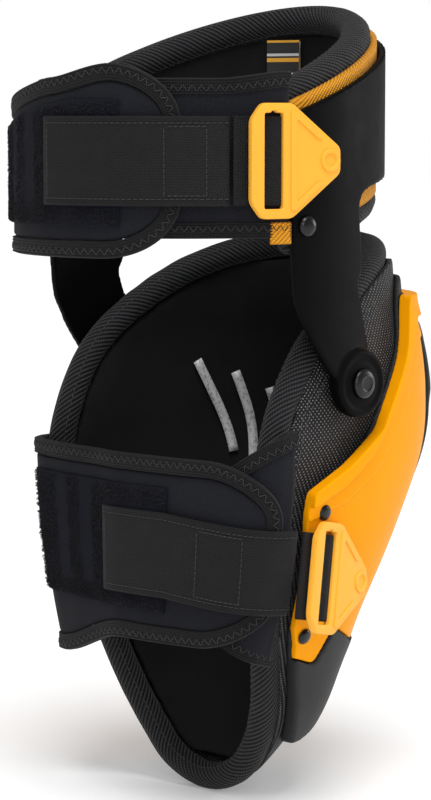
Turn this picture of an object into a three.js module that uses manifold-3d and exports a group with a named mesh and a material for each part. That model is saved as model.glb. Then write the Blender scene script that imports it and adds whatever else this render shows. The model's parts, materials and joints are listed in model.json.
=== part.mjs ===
// Hinged knee pad with a thigh support: a padded knee cup, a moulded frame over it, and a thigh cuff
// on two side arms. Millimetres, +Z up. The kneecap faces -Y and the wearer's leg runs along Z.
import * as THREE from "three";
import * as BufferGeometryUtils from "three/addons/utils/BufferGeometryUtils.js";
import Module from "manifold-3d";

const wasm = await Module();
wasm.setup();

// ---------------------------------------------------------------- driving dimensions
const CENTRE_SHIFT_Y = 14.8;         // moves the leg axis so that the whole part is centred on the origin
const SIDES = [["left", -1], ["right", 1]];
const DEG = Math.PI / 180;

// Knee cup: the middle surface of its padded wall. Each rim point is [half width, Y, Z].
const RIM = [
  [0, -90, 249], [27, -85, 248], [46, -66, 243], [57, -42, 233], [63, -15, 217], [66, 4, 200], [66.5, 18, 176],
  [66, 24, 147], [60, 18, 105], [49, 7, 66], [43, 1, 46], [33.5, -4, 27], [20, -6, 12], [0, -7, 5.8],
];
// Front line of the same surface at X = 0, as [Y, Z] from top to bottom.
const FRONT = [
  [-90, 249], [-90, 236], [-93, 221], [-100, 203], [-105, 182], [-103, 158], [-85, 126],
  [-62, 91], [-52, 69], [-42, 44], [-30, 28], [-15, 13], [-7, 5.8],
];
// Squareness of the horizontal sections, as [Z, exponent]: 2 is an ellipse, more is boxier.
const SQUARENESS = [[6, 2.0], [30, 2.4], [75, 2.9], [150, 2.7], [205, 2.6], [247, 2.0]];
const CUP_TOP = 240;                // highest and lowest row of the wall's layers
const CUP_BOTTOM = 13;
const CUP_ROWS = 11;
const CUP_COLUMNS = 14;
const RIM_CLEAR = 7.3;              // distance from the rim line to the edge of the layers
const RIM_TUBE = 6.2;               // radius of the edge binding

// Layers of the knee cup, as distances from its middle surface, outward positive.
const LINING = [-5.75, -4.7];
const FOAM = [-4.4, 4.2];
const GEL = [0.6, 4.2];
const BRACKET = [-1.4, 0.8];
const COVER = [4.5, 5.75];
const BASE = [6.1, 9.0];
const FOOT_FLARE = 4;               // how much thicker the base's foot gets from Z 72 down to Z 42
const footFlare = (z) => FOOT_FLARE * THREE.MathUtils.clamp((72 - z) / 30, 0, 1);
const BASE_FOOT = [(z) => 8.9 + 0.5 * footFlare(z), (z) => 12.4 + footFlare(z)];
const FRAME = [9.4, 12.6];
const FRAME_RIM = [12.5, 15.4];
const CAP = [9.4, 14.4];
const GAP = 0.3;

// Thigh cuff: oval rings about Z. A layer is [inner, outer], measured outward from the oval that is
// the outer face of the thigh shell.
const OVAL_X = 80.5;
const OVAL_Y = 88.3;
const SHELL = [-3.3, 0];
const PAD_LINING = [-16.4, -15.3];
const PAD_FOAM = [-15.0, -5.9];
const PAD_COVER = [-5.6, -4.3];
const PAD_HALF_ANGLE = 113;
const ROLL = -13.5;                 // centre line of the upper padded roll
const ROLL_RADIUS = 6.8;
const LOWER_ROLL = -11;
const LOWER_ROLL_RADIUS = 5.2;
const STRAP_NEAR = [-10.3, -6.3];
const STRAP_WRAP = [-5.5, -1.7];
const STRAP_PATCH = [-1.4, 0.1];
const STRAP_WEB = [0.4, 1.9];
const STRAP_LOW = 255;
const STRAP_HIGH = 325;
const WEB_WIDTH = 38;
const THIGH_WEB_MIDDLE = 290;

// Pivots of the thigh arms.
const PIVOT_Y = -21;
const PIVOT_Z = 192;
const PIVOT_DISC_RADIUS = 15;
const PIVOT_DISC = [75.0, 81.5];    // distances from the middle plane
const PIVOT_RECESS = [81.0, 12];    // floor and radius of the shallow recess inside the disc's raised ring
const PIVOT_WASHER = [72.7, 74.7];
const PIVOT_SHANK = 4;
const PIVOT_HEAD = 6.5;
const PIVOT_FLANGE = [61.7, 62.6];  // inner flange of the rivet, inside the cup's wall
const PIVOT_FLANGE_RADIUS = 6.2;
const PIVOT_WASHER_RADIUS = 11;

// Rivets that hold the strap's root to the foot of the cuff, one on each arm, as [Y, Z].
const ARM_RIVET = [13.5, 262];
const ARM_RIVET_SHANK = 2;
const ARM_RIVET_HEAD = 4.6;

// Buckles: flat plates in local axes, +x away from the tip, +y up, +z outward.
const BUCKLE_THICK = 3.4;
const THIGH_BUCKLE_ANGLE = 104;
const THIGH_BUCKLE_STAND = 0.7;

// ---------------------------------------------------------------- materials
const plastic = (color, roughness) => new THREE.MeshStandardMaterial({ color, roughness, metalness: 0 });
const BLACK_NYLON = () => plastic(0x17181a, 0.42);
const YELLOW = () => plastic(0xf8a51b, 0.38);
const BUCKLE_YELLOW = () => plastic(0xffc243, 0.42);
const GREY_RUBBER = () => plastic(0x3b3c40, 0.6);
const BLACK_FABRIC = () => plastic(0x151517, 0.92);
const BLUE_BLACK = () => plastic(0x22242f, 0.9);
const FOAM_GREY = () => plastic(0x6b6d70, 0.95);
const GEL_BLUE = () => plastic(0x4f7fae, 0.3);
const YELLOW_MESH = () => plastic(0xf0a024, 0.85);

// ---------------------------------------------------------------- solid helpers
function solidOf(geometry) {
  const bare = geometry.clone();
  bare.deleteAttribute("normal");
  bare.deleteAttribute("uv");
  const merged = BufferGeometryUtils.mergeVertices(bare, 1e-4);
  const vertProperties = new Float32Array(merged.attributes.position.array);
  const triVerts = new Uint32Array(merged.index.array);
  return new wasm.Manifold(new wasm.Mesh({ numProp: 3, vertProperties, triVerts }));
}

function geometryOf(solid) {
  const mesh = solid.getMesh();
  const geometry = new THREE.BufferGeometry();
  geometry.setAttribute("position", new THREE.BufferAttribute(new Float32Array(mesh.vertProperties), 3));
  geometry.setIndex(new THREE.BufferAttribute(new Uint32Array(mesh.triVerts), 1));
  return geometry;
}

// Closed solid between two grids of points with equal rows and columns.
function slab(outer, inner, wrap = false) {
  const rows = outer.length;
  const columns = outer[0].length;
  const positions = [];
  for (const grid of [outer, inner]) {
    for (const row of grid) {
      for (const point of row) {
        positions.push(point.x, point.y, point.z);
      }
    }
  }
  const at = (side, row, column) => side * rows * columns + row * columns + (column % columns);
  const index = [];
  const quad = (a, b, c, d) => index.push(a, b, c, a, c, d);
  const lastColumn = wrap ? columns : columns - 1;
  for (let r = 0; r < rows - 1; r++) {
    for (let c = 0; c < lastColumn; c++) {
      quad(at(0, r, c), at(0, r, c + 1), at(0, r + 1, c + 1), at(0, r + 1, c));
      quad(at(1, r, c), at(1, r + 1, c), at(1, r + 1, c + 1), at(1, r, c + 1));
    }
  }
  for (let c = 0; c < lastColumn; c++) {
    quad(at(0, 0, c + 1), at(0, 0, c), at(1, 0, c), at(1, 0, c + 1));
    quad(at(0, rows - 1, c), at(0, rows - 1, c + 1), at(1, rows - 1, c + 1), at(1, rows - 1, c));
  }
  if (!wrap) {
    for (let r = 0; r < rows - 1; r++) {
      quad(at(0, r, 0), at(0, r + 1, 0), at(1, r + 1, 0), at(1, r, 0));
      quad(at(0, r + 1, columns - 1), at(0, r, columns - 1), at(1, r, columns - 1), at(1, r + 1, columns - 1));
    }
  }
  return facingOut(positions, index);
}

// Builds the geometry and turns its triangles round if they enclose a negative volume.
function facingOut(positions, index) {
  let volume = 0;
  const point = (i) => new THREE.Vector3().fromArray(positions, 3 * i);
  for (let i = 0; i < index.length; i += 3) {
    volume += point(index[i]).dot(point(index[i + 1]).cross(point(index[i + 2])));
  }
  if (volume < 0) {
    index.reverse();
  }
  const geometry = new THREE.BufferGeometry();
  geometry.setAttribute("position", new THREE.Float32BufferAttribute(positions, 3));
  geometry.setIndex(index);
  return geometry;
}

// Round tube through a list of centres, either a closed loop or with flat ends.
function tube(centres, radius, sides, closed, flatten = 1) {
  const count = centres.length;
  const positions = [];
  for (let i = 0; i < count; i++) {
    const before = centres[closed ? (i + count - 1) % count : Math.max(i - 1, 0)];
    const after = centres[closed ? (i + 1) % count : Math.min(i + 1, count - 1)];
    const along = after.clone().sub(before).normalize();
    const outward = new THREE.Vector3(centres[i].x, centres[i].y, 0);
    outward.addScaledVector(along, -outward.dot(along)).normalize();
    const across = along.clone().cross(outward);
    for (let s = 0; s < sides; s++) {
      const turn = (2 * Math.PI * (s + 0.5)) / sides;
      const point = centres[i].clone();
      point.addScaledVector(outward, radius * flatten * Math.cos(turn));
      point.addScaledVector(across, radius * Math.sin(turn));
      positions.push(point.x, point.y, point.z);
    }
  }
  const index = [];
  const spans = closed ? count : count - 1;
  for (let i = 0; i < spans; i++) {
    for (let s = 0; s < sides; s++) {
      const a = i * sides + s;
      const b = i * sides + ((s + 1) % sides);
      const c = ((i + 1) % count) * sides + ((s + 1) % sides);
      const d = ((i + 1) % count) * sides + s;
      index.push(a, b, c, a, c, d);
    }
  }
  if (!closed) {
    for (let s = 1; s < sides - 1; s++) {
      index.push(0, s + 1, s);
      const end = (count - 1) * sides;
      index.push(end, end + s, end + s + 1);
    }
  }
  return facingOut(positions, index);
}

function outline(points) {
  return new THREE.Shape(points.map(([x, y]) => new THREE.Vector2(x, y)));
}

// Prism of a side-view outline in Y and Z, reaching across X between the two given planes.
function sidePrism(points, fromX, toX) {
  const geometry = new THREE.ExtrudeGeometry(outline(points), { depth: toX - fromX, bevelEnabled: false });
  const axes = new THREE.Matrix4().makeBasis(
    new THREE.Vector3(0, 1, 0), new THREE.Vector3(0, 0, 1), new THREE.Vector3(1, 0, 0));
  geometry.applyMatrix4(axes);
  geometry.translate(fromX, 0, 0);
  return solidOf(geometry);
}

// Prism of a front-view outline in X and Z, reaching forward from the middle of the leg.
function frontPrism(points) {
  const geometry = new THREE.ExtrudeGeometry(outline(points), { depth: 160, bevelEnabled: false });
  const axes = new THREE.Matrix4().makeBasis(
    new THREE.Vector3(1, 0, 0), new THREE.Vector3(0, 0, 1), new THREE.Vector3(0, -1, 0));
  geometry.applyMatrix4(axes);
  return solidOf(geometry);
}

// Round bar along a direction between two distances from a point.
function bar(origin, direction, from, to, radius, sides = 20) {
  const geometry = new THREE.CylinderGeometry(radius, radius, to - from, sides);
  geometry.translate(0, (from + to) / 2, 0);
  geometry.applyQuaternion(new THREE.Quaternion().setFromUnitVectors(new THREE.Vector3(0, 1, 0), direction));
  geometry.translate(origin.x, origin.y, origin.z);
  return solidOf(geometry);
}

// Turned part about a direction, from a profile of [radius, distance] points.
function turned(origin, direction, profile, sides = 20) {
  const geometry = new THREE.LatheGeometry(profile.map(([r, h]) => new THREE.Vector2(r, h)), sides);
  geometry.applyQuaternion(new THREE.Quaternion().setFromUnitVectors(new THREE.Vector3(0, 1, 0), direction));
  geometry.translate(origin.x, origin.y, origin.z);
  const welded = merged(geometry);
  return facingOut(Array.from(welded.attributes.position.array), Array.from(welded.index.array));
}

function merged(geometry) {
  const bare = geometry.clone();
  bare.deleteAttribute("normal");
  bare.deleteAttribute("uv");
  const welded = BufferGeometryUtils.mergeVertices(bare, 1e-4);
  const index = welded.index.array;
  const kept = [];
  for (let i = 0; i < index.length; i += 3) {
    if (index[i] !== index[i + 1] && index[i + 1] !== index[i + 2] && index[i] !== index[i + 2]) {
      kept.push(index[i], index[i + 1], index[i + 2]);
    }
  }
  welded.setIndex(kept);
  return welded;
}

// ---------------------------------------------------------------- the object
const part = new THREE.Group();
part.position.y = CENTRE_SHIFT_Y;

function add(name, shape, material) {
  const geometry = shape.isBufferGeometry ? shape : geometryOf(shape);
  geometry.computeVertexNormals();
  const mesh = new THREE.Mesh(geometry, material);
  mesh.name = name;
  part.add(mesh);
  return mesh;
}

// ---------------------------------------------------------------- knee cup surface
function ramp(keys, x) {
  for (let i = 1; i < keys.length; i++) {
    if (x <= keys[i][0]) {
      const t = (x - keys[i - 1][0]) / (keys[i][0] - keys[i - 1][0]);
      return THREE.MathUtils.lerp(keys[i - 1][1], keys[i][1], Math.max(t, 0));
    }
  }
  return keys[keys.length - 1][1];
}

const rimHalf = RIM.map(([x, y, z]) => new THREE.Vector3(x, y, z));
const rimOther = RIM.slice(1, -1).reverse().map(([x, y, z]) => new THREE.Vector3(-x, y, z));
const rimCurve = new THREE.CatmullRomCurve3([...rimHalf, ...rimOther], true, "catmullrom", 0.5);
const rimSpan = (RIM.length - 1) / (2 * RIM.length - 2);
const frontCurve = new THREE.CatmullRomCurve3(FRONT.map(([y, z]) => new THREE.Vector3(0, y, z)));
const rimSamples = Array.from({ length: 160 }, (_, i) => rimCurve.getPoint(i / 160));

// Point of a falling curve at a given height, searched between two parameters.
function atHeight(curve, z, first, last) {
  let low = first;
  let high = last;
  for (let i = 0; i < 40; i++) {
    const middle = (low + high) / 2;
    if (curve.getPoint(middle).z > z) {
      low = middle;
    } else {
      high = middle;
    }
  }
  return curve.getPoint((low + high) / 2);
}

const rimAt = (z) => atHeight(rimCurve, z, 0, rimSpan);

function cupPoint(across, z) {
  const rim = rimAt(z);
  const front = atHeight(frontCurve, z, 0, 1).y;
  const power = 2 / ramp(SQUARENESS, z);
  const turn = (across * Math.PI) / 2;
  const x = Math.sign(turn) * rim.x * Math.abs(Math.sin(turn)) ** power;
  const y = rim.y - (rim.y - front) * Math.max(Math.cos(turn), 0) ** power;
  return new THREE.Vector3(x, y, z);
}

function cupNormal(across, z) {
  const step = 0.012;
  const rise = 1;
  const sideways = cupPoint(Math.min(across + step, 1), z).sub(cupPoint(Math.max(across - step, -1), z));
  const upper = cupPoint(across, Math.min(z + rise, RIM[0][2] - 0.2));
  const upwards = upper.sub(cupPoint(across, Math.max(z - rise, RIM[RIM.length - 1][2] + 0.2)));
  return sideways.cross(upwards).normalize();
}

function rimDistance(point) {
  return Math.min(...rimSamples.map((sample) => sample.distanceTo(point)));
}

// Largest value of "across" at a height that keeps the layers clear of the edge binding.
function widest(z) {
  let low = 0;
  let high = 1;
  for (let i = 0; i < 24; i++) {
    const middle = (low + high) / 2;
    if (rimDistance(cupPoint(middle, z)) > RIM_CLEAR) {
      low = middle;
    } else {
      high = middle;
    }
  }
  return low;
}

const cupRows = [];
for (let r = 0; r <= CUP_ROWS; r++) {
  const z = THREE.MathUtils.lerp(CUP_BOTTOM, CUP_TOP, (1 - Math.cos((Math.PI * r) / CUP_ROWS)) / 2);
  const limit = widest(z);
  const row = [];
  for (let c = 0; c <= CUP_COLUMNS; c++) {
    const across = limit * ((2 * c) / CUP_COLUMNS - 1);
    row.push({ point: cupPoint(across, z), normal: cupNormal(across, z) });
  }
  cupRows.push(row);
}

// Grid of the wall at a distance from its middle surface, which may be a function of height.
function cupGrid(distance) {
  const at = typeof distance === "function" ? distance : () => distance;
  return cupRows.map((row) => row.map(({ point, normal }) =>
    point.clone().addScaledVector(normal, at(point.z))));
}

function cupLayer([inner, outer]) {
  return solidOf(slab(cupGrid(outer), cupGrid(inner)));
}

// Place on the side of the cup at a given Y and Z, with its outward direction.
function sideSpot(y, z, side) {
  let low = 0;
  let high = 1;
  for (let i = 0; i < 30; i++) {
    const middle = (low + high) / 2;
    if (cupPoint(middle, z).y < y) {
      low = middle;
    } else {
      high = middle;
    }
  }
  const across = side * (low + high) / 2;
  return { point: cupPoint(across, z), normal: cupNormal(across, z) };
}

// ---------------------------------------------------------------- side and front outlines
const FRAME_SIDE = [
  [-150, 228], [-68, 228], [-57, 200], [-38, 170], [-16, 157], [9, 146], [10, 136], [8, 110], [7.5, 72],
  [-11, 66], [-21, 82], [-44, 72], [-150, 72],
];
const FRAME_RIM_SIDE = [
  [-150, 228], [-68, 228], [-57, 200], [-38, 170], [-16, 157], [9, 146], [9.6, 139], [-13, 148], [-32, 160],
  [-48, 178], [-65, 203], [-76, 218], [-150, 218],
];
const BASE_SIDE = [
  [-150, 236], [-70, 236], [-61, 205], [-42, 175], [-21, 152], [3, 140], [4, 110], [6, 77], [5, 27],
  [-16, 27], [-30, 31], [-46, 40], [-150, 46],
];
const BASE_FOOT_SIDE = [[7.5, 90], [6.5, 27], [-16, 27], [-30, 31], [-46, 40], [-150, 46], [-150, 90]];
const BRACKET_SIDE = [
  [-28, 205], [-14, 205], [-7, 192], [0, 150], [-10, 118], [-30, 118], [-36, 150], [-37, 192],
];

// Window of the frame that holds the front cap, as [half width, Z] down one side.
const WINDOW = [[30, 229], [43, 208], [47, 172], [41, 132], [32, 98], [22, 84]];

// The first point is the top corner, and the last is the bottom one: both move inwards in height too.
function windowOutline(inset) {
  const [, top] = WINDOW[0];
  const [, bottom] = WINDOW[WINDOW.length - 1];
  const right = WINDOW.map(([x, z]) => [x - inset, z === top ? z - inset : Math.max(z, bottom + inset)]);
  const left = right.map(([x, z]) => [-x, z]).reverse();
  return [...right, ...left];
}

function grown(points, by) {
  const centre = points.reduce(([a, b], [y, z]) => [a + y / points.length, b + z / points.length], [0, 0]);
  return points.map(([y, z]) => {
    const away = new THREE.Vector2(y - centre[0], z - centre[1]);
    away.setLength(away.length() + by);
    return [centre[0] + away.x, centre[1] + away.y];
  });
}

const RIVET_SPOTS = [["upper", 0, 138], ["lower", 1, 84]];   // name, Y and Z
const FRAME_RIVET_SHANK = 2.3;

function pivotOrigin() {
  return new THREE.Vector3(0, PIVOT_Y, PIVOT_Z);
}

// ---------------------------------------------------------------- knee cup pieces
function kneeLining() {
  return cupLayer(LINING);
}

function kneeFoam() {
  const pocket = cupLayer([GEL[0] - GAP, FOAM[1] + 1]).intersect(frontPrism(gelOutline(GAP)));
  let foam = cupLayer(FOAM).subtract(pocket);
  const slot = cupLayer([BRACKET[0] - GAP, FOAM[1] + 1]);
  for (const [, side] of SIDES) {
    const outlineGrown = grown(BRACKET_SIDE, 2.5);
    const reach = side > 0 ? [20, 120] : [-120, -20];
    foam = foam.subtract(slot.intersect(sidePrism(outlineGrown, ...reach)));
    foam = foam.subtract(bar(pivotOrigin(), new THREE.Vector3(side, 0, 0), 61.3, 90, 7));
  }
  return foam;
}

function gelOutline(by) {
  const points = [];
  for (let i = 0; i < 20; i++) {
    const turn = (2 * Math.PI * i) / 20;
    points.push([(36 + by) * Math.cos(turn), 168 + (44 + by) * Math.sin(turn)]);
  }
  return points;
}

function gelPad() {
  return cupLayer(GEL).intersect(frontPrism(gelOutline(0)));
}

function kneeCover() {
  let cover = cupLayer(COVER);
  for (const [, side] of SIDES) {
    cover = cover.subtract(bar(pivotOrigin(), new THREE.Vector3(side, 0, 0), 60, 95, PIVOT_SHANK + 0.4));
  }
  return cover;
}

function sideBracket(side) {
  const reach = side > 0 ? [20, 120] : [-120, -20];
  const plate = cupLayer(BRACKET).intersect(sidePrism(BRACKET_SIDE, ...reach));
  return plate.subtract(bar(pivotOrigin(), new THREE.Vector3(side, 0, 0), 50, 90, PIVOT_SHANK + 0.4));
}

function rivetHoles(solid) {
  let cut = solid;
  for (const [, side] of SIDES) {
    for (const [, y, z] of RIVET_SPOTS) {
      const spot = sideSpot(y, z, side);
      cut = cut.subtract(bar(spot.point, spot.normal, 0, 30, FRAME_RIVET_SHANK + GAP, 12));
    }
  }
  return cut;
}

function baseShell() {
  const carrier = cupLayer(BASE).intersect(sidePrism(BASE_SIDE, -150, 150));
  let foot = cupLayer(BASE_FOOT).intersect(sidePrism(BASE_FOOT_SIDE, -150, 150));
  for (const [forward, down] of [[0, 0], [0, 0.6], [0.6, 0.2]]) {
    const shifted = FRAME_SIDE.map(([y, z]) => [y - forward, z - down]);
    foot = foot.subtract(sidePrism(shifted, -150, 150));
  }
  return rivetHoles(carrier.add(foot));
}

function frameShell() {
  const body = cupLayer(FRAME).intersect(sidePrism(FRAME_SIDE, -150, 150));
  const rim = cupLayer(FRAME_RIM).intersect(sidePrism(FRAME_RIM_SIDE, -150, 150));
  const cut = body.add(rim).subtract(frontPrism(windowOutline(0)));
  return rivetHoles(cut);
}

function frontCap() {
  return cupLayer(CAP).intersect(frontPrism(windowOutline(0.4)));
}

function frameRivet(y, z, side) {
  const { point, normal } = sideSpot(y, z, side);
  const top = FRAME[1] + GAP;
  return turned(point, normal, [
    [0, BASE[0]], [FRAME_RIVET_SHANK, BASE[0]], [FRAME_RIVET_SHANK, top], [3.7, top], [3.4, top + 1.1],
    [2, top + 1.6], [0, top + 1.8],
  ], 12);
}

function edgeBinding() {
  const count = 56;
  const centres = Array.from({ length: count }, (_, i) => rimCurve.getPointAt(i / count));
  return tube(centres, RIM_TUBE, 8, true);
}

function pivotRivet(side) {
  const head = PIVOT_RECESS[0] + GAP;
  return turned(pivotOrigin(), new THREE.Vector3(side, 0, 0), [
    [0, PIVOT_FLANGE[0]], [PIVOT_FLANGE_RADIUS, PIVOT_FLANGE[0]], [PIVOT_FLANGE_RADIUS, PIVOT_FLANGE[1]],
    [PIVOT_SHANK, PIVOT_FLANGE[1]], [PIVOT_SHANK, head], [PIVOT_HEAD, head],
    [PIVOT_HEAD - 0.4, head + 1.1], [PIVOT_HEAD - 2.5, head + 1.8], [0, head + 2.1],
  ]);
}

function pivotWasher(side) {
  const hole = PIVOT_SHANK + GAP;
  return turned(pivotOrigin(), new THREE.Vector3(side, 0, 0), [
    [hole, PIVOT_WASHER[0]], [PIVOT_WASHER_RADIUS, PIVOT_WASHER[0]], [PIVOT_WASHER_RADIUS, PIVOT_WASHER[1]],
    [hole, PIVOT_WASHER[1]],
    [hole, PIVOT_WASHER[0]],
  ]);
}

add("knee_inner_lining", kneeLining(), BLACK_FABRIC());
add("knee_foam_core", kneeFoam(), FOAM_GREY());
add("knee_gel_pad", gelPad(), GEL_BLUE());
add("knee_outer_cover", kneeCover(), BLACK_FABRIC());
add("knee_edge_binding", edgeBinding(), BLACK_FABRIC());
add("knee_base_shell", baseShell(), GREY_RUBBER());
add("knee_frame_shell", frameShell(), YELLOW());
add("knee_front_cap", frontCap(), BLACK_NYLON());
for (const [name, side] of SIDES) {
  add(`side_bracket_${name}`, sideBracket(side), BLACK_NYLON());
  add(`pivot_washer_${name}`, pivotWasher(side), BLACK_NYLON());
  add(`pivot_rivet_${name}`, pivotRivet(side), BLACK_NYLON());
  for (const [level, y, z] of RIVET_SPOTS) {
    add(`frame_rivet_${level}_${name}`, frameRivet(y, z, side), BLACK_NYLON());
  }
}

// ---------------------------------------------------------------- thigh cuff
// Point of the oval moved outward by a distance. The angle about Z is measured from the front (-Y)
// towards the left side (-X).
function onRing(distance, angle, z) {
  const turn = angle * DEG;
  return new THREE.Vector3(-(OVAL_X + distance) * Math.sin(turn), -(OVAL_Y + distance) * Math.cos(turn), z);
}

function ringNormal(angle) {
  const turn = angle * DEG;
  return new THREE.Vector3(-Math.sin(turn) / OVAL_X, -Math.cos(turn) / OVAL_Y, 0).normalize();
}

// Curved band between two radii and two angles, with its lower and upper edges as functions of angle.
function ringBand([inner, outer], from, to, low, high, rows = 1, step = 7) {
  const columns = Math.max(2, Math.round(Math.abs(to - from) / step));
  const grid = (radius) => Array.from({ length: rows + 1 }, (_, r) =>
    Array.from({ length: columns + 1 }, (_, c) => {
      const angle = THREE.MathUtils.lerp(from, to, c / columns);
      return onRing(radius, angle, THREE.MathUtils.lerp(low(angle), high(angle), r / rows));
    }));
  return slab(grid(outer), grid(inner));
}

const rollHeight = (angle) => 323 + 30 * Math.cos(angle * DEG);
const lowerRollHeight = (angle) => 256 + 19 * Math.cos(angle * DEG);
const padTop = (angle) => rollHeight(angle) - ROLL_RADIUS - GAP;
const padBottom = (angle) => lowerRollHeight(angle) + LOWER_ROLL_RADIUS + GAP;

function thighFrame() {
  const ring = solidOf(ringBand(SHELL, -150, 150, () => 170, () => 360, 1, 6));
  const side = [[-95, 350], [20.5, 310], [20.5, 254], [18.5, 231], [17, 225], [8, 210], [-2, 197]];
  for (let turn = 10; turn >= -190; turn -= 20) {
    const spoke = new THREE.Vector2(PIVOT_DISC_RADIUS, 0).rotateAround(new THREE.Vector2(), turn * DEG);
    side.push([PIVOT_Y + spoke.x, PIVOT_Z + spoke.y]);
  }
  side.push([-21, 240], [-25, 241], [-22, 277], [-30, 281.5], [-95, 290.9]);
  let frame = ring.intersect(sidePrism(side, -150, 150));
  for (const [, sign] of SIDES) {
    const outward = new THREE.Vector3(sign, 0, 0);
    frame = frame.subtract(bar(pivotOrigin(), outward, 60, PIVOT_DISC[0], PIVOT_DISC_RADIUS + 0.2, 30));
    frame = frame.add(bar(pivotOrigin(), outward, ...PIVOT_DISC, PIVOT_DISC_RADIUS, 30));
    frame = frame.subtract(bar(pivotOrigin(), outward, PIVOT_RECESS[0], 100, PIVOT_RECESS[1], 30));
    frame = frame.subtract(bar(pivotOrigin(), outward, 60, 100, PIVOT_SHANK + GAP));
    const rivetOut = ringNormal(armRivetAngle(sign));
    frame = frame.subtract(bar(armRivetSpot(sign), rivetOut, -10, 10, ARM_RIVET_SHANK + GAP));
  }
  return frame;
}

function armRivetAngle(sign) {
  return -sign * (180 - Math.acos(ARM_RIVET[0] / OVAL_Y) / DEG);
}

function armRivetSpot(sign) {
  return onRing(0, armRivetAngle(sign), ARM_RIVET[1]);
}

function armRivet(sign) {
  return turned(armRivetSpot(sign), ringNormal(armRivetAngle(sign)), [
    [0, SHELL[0] - 0.1], [ARM_RIVET_SHANK, SHELL[0] - 0.1], [ARM_RIVET_SHANK, GAP], [ARM_RIVET_HEAD, GAP],
    [ARM_RIVET_HEAD - 0.4, GAP + 1.2], [ARM_RIVET_HEAD - 2.2, GAP + 2], [0, GAP + 2.3],
  ], 14);
}

function ringTube(radius, tubeRadius, height, from, to, steps, sides) {
  const centres = Array.from({ length: steps + 1 }, (_, i) => {
    const angle = THREE.MathUtils.lerp(from, to, i / steps);
    return onRing(radius, angle, height(angle));
  });
  return tube(centres, tubeRadius, sides, false);
}

// Height of a rounded strap end: 0 at the tip and 1 once the rounding is over.
function rounded(angle, tip, span) {
  const t = Math.min(Math.abs(angle - tip) / span, 1);
  return Math.sqrt(1 - (1 - t) ** 2);
}

const STRAP_MIDDLE = (STRAP_LOW + STRAP_HIGH) / 2;
const strapHalf = (angle, tip, span) => {
  const half = (STRAP_HIGH - STRAP_LOW) / 2;
  return half * (0.45 + 0.55 * rounded(angle, tip, span));
};

const WRAP_TIP = 142;
const WRAP_ROOT = 245;
add("thigh_frame", thighFrame(), BLACK_NYLON());
for (const [name, side] of SIDES) {
  add(`arm_rivet_${name}`, armRivet(side), BLACK_NYLON());
}
const padLayer = (layer) => ringBand(layer, -PAD_HALF_ANGLE, PAD_HALF_ANGLE, padBottom, padTop);
const wrapSlope = (angle) => 0.32 * Math.max(0, angle - 178);
add("thigh_pad_lining", padLayer(PAD_LINING), BLACK_FABRIC());
add("thigh_pad_foam", padLayer(PAD_FOAM), FOAM_GREY());
add("thigh_pad_cover", padLayer(PAD_COVER), YELLOW_MESH());
add("thigh_top_roll", ringTube(ROLL, ROLL_RADIUS, rollHeight, -114.5, 114.5, 36, 8), BLACK_FABRIC());
add("thigh_bottom_roll",
  ringTube(LOWER_ROLL, LOWER_ROLL_RADIUS, lowerRollHeight, -104, 104, 28, 8), BLACK_FABRIC());
add("thigh_strap_near", ringBand(STRAP_NEAR, 116, 194, () => STRAP_LOW + 2, () => STRAP_HIGH), BLACK_FABRIC());
add("thigh_strap_wrap", ringBand(STRAP_WRAP, WRAP_TIP, WRAP_ROOT,
  (angle) => STRAP_MIDDLE - strapHalf(angle, WRAP_TIP, 20),
  (angle) => STRAP_MIDDLE + strapHalf(angle, WRAP_TIP, 20) - wrapSlope(angle), 1, 5), BLACK_FABRIC());
add("thigh_loop_patch",
  ringBand(STRAP_PATCH, 156, 232, () => 262, (angle) => 317 - wrapSlope(angle)), BLUE_BLACK());
add("thigh_elastic", ringBand(STRAP_WEB, 123.5, 183,
  () => THIGH_WEB_MIDDLE - WEB_WIDTH / 2, () => THIGH_WEB_MIDDLE + WEB_WIDTH / 2), BLACK_FABRIC());

// ---------------------------------------------------------------- calf strap
// Plan line of the strap on the left half, as [|X| less the rim's half width, Y]; it is mirrored.
const CALF_PLAN = [[8.7, 11], [9.0, 20], [6.8, 28], [-4, 34.5], [-30, 39.5], [-66, 41]];
const CALF_NEAR = [0, 3.2];
const CALF_WRAP = [3.9, 6.9];
const CALF_PATCH = [7.3, 8.3];
const CALF_WEB = [8.8, 10];

// Point of the strap's plan, from -1 (left root) over 0 (back middle) to 1 (right root).
function calfPoint(s, z, distance) {
  const half = rimAt(z).x;
  const xs = CALF_PLAN.map(([dx, y]) => new THREE.Vector3(-Math.max(half + dx, 0), y, z));
  xs[xs.length - 1].x = 0;
  const mirrored = xs.slice(0, -1).reverse().map((p) => new THREE.Vector3(-p.x, p.y, p.z));
  const curve = new THREE.CatmullRomCurve3([...xs, ...mirrored], false, "catmullrom", 0.5);
  const t = (s + 1) / 2;
  const point = curve.getPointAt(t);
  const tangent = curve.getTangentAt(t);
  const lift = distance - CALF_NEAR[1] * THREE.MathUtils.smoothstep(s, 0, 0.3);
  return point.add(new THREE.Vector3(-tangent.y, tangent.x, 0).normalize().multiplyScalar(lift));
}

function calfBand([inner, outer], from, to, low, high, columns) {
  const rows = 2;
  const grid = (distance) => Array.from({ length: rows + 1 }, (_, r) =>
    Array.from({ length: columns + 1 }, (_, c) => {
      const s = THREE.MathUtils.lerp(from, to, c / columns);
      return calfPoint(s, THREE.MathUtils.lerp(low(s), high(s), r / rows), distance);
    }));
  return slab(grid(outer), grid(inner));
}

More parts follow.
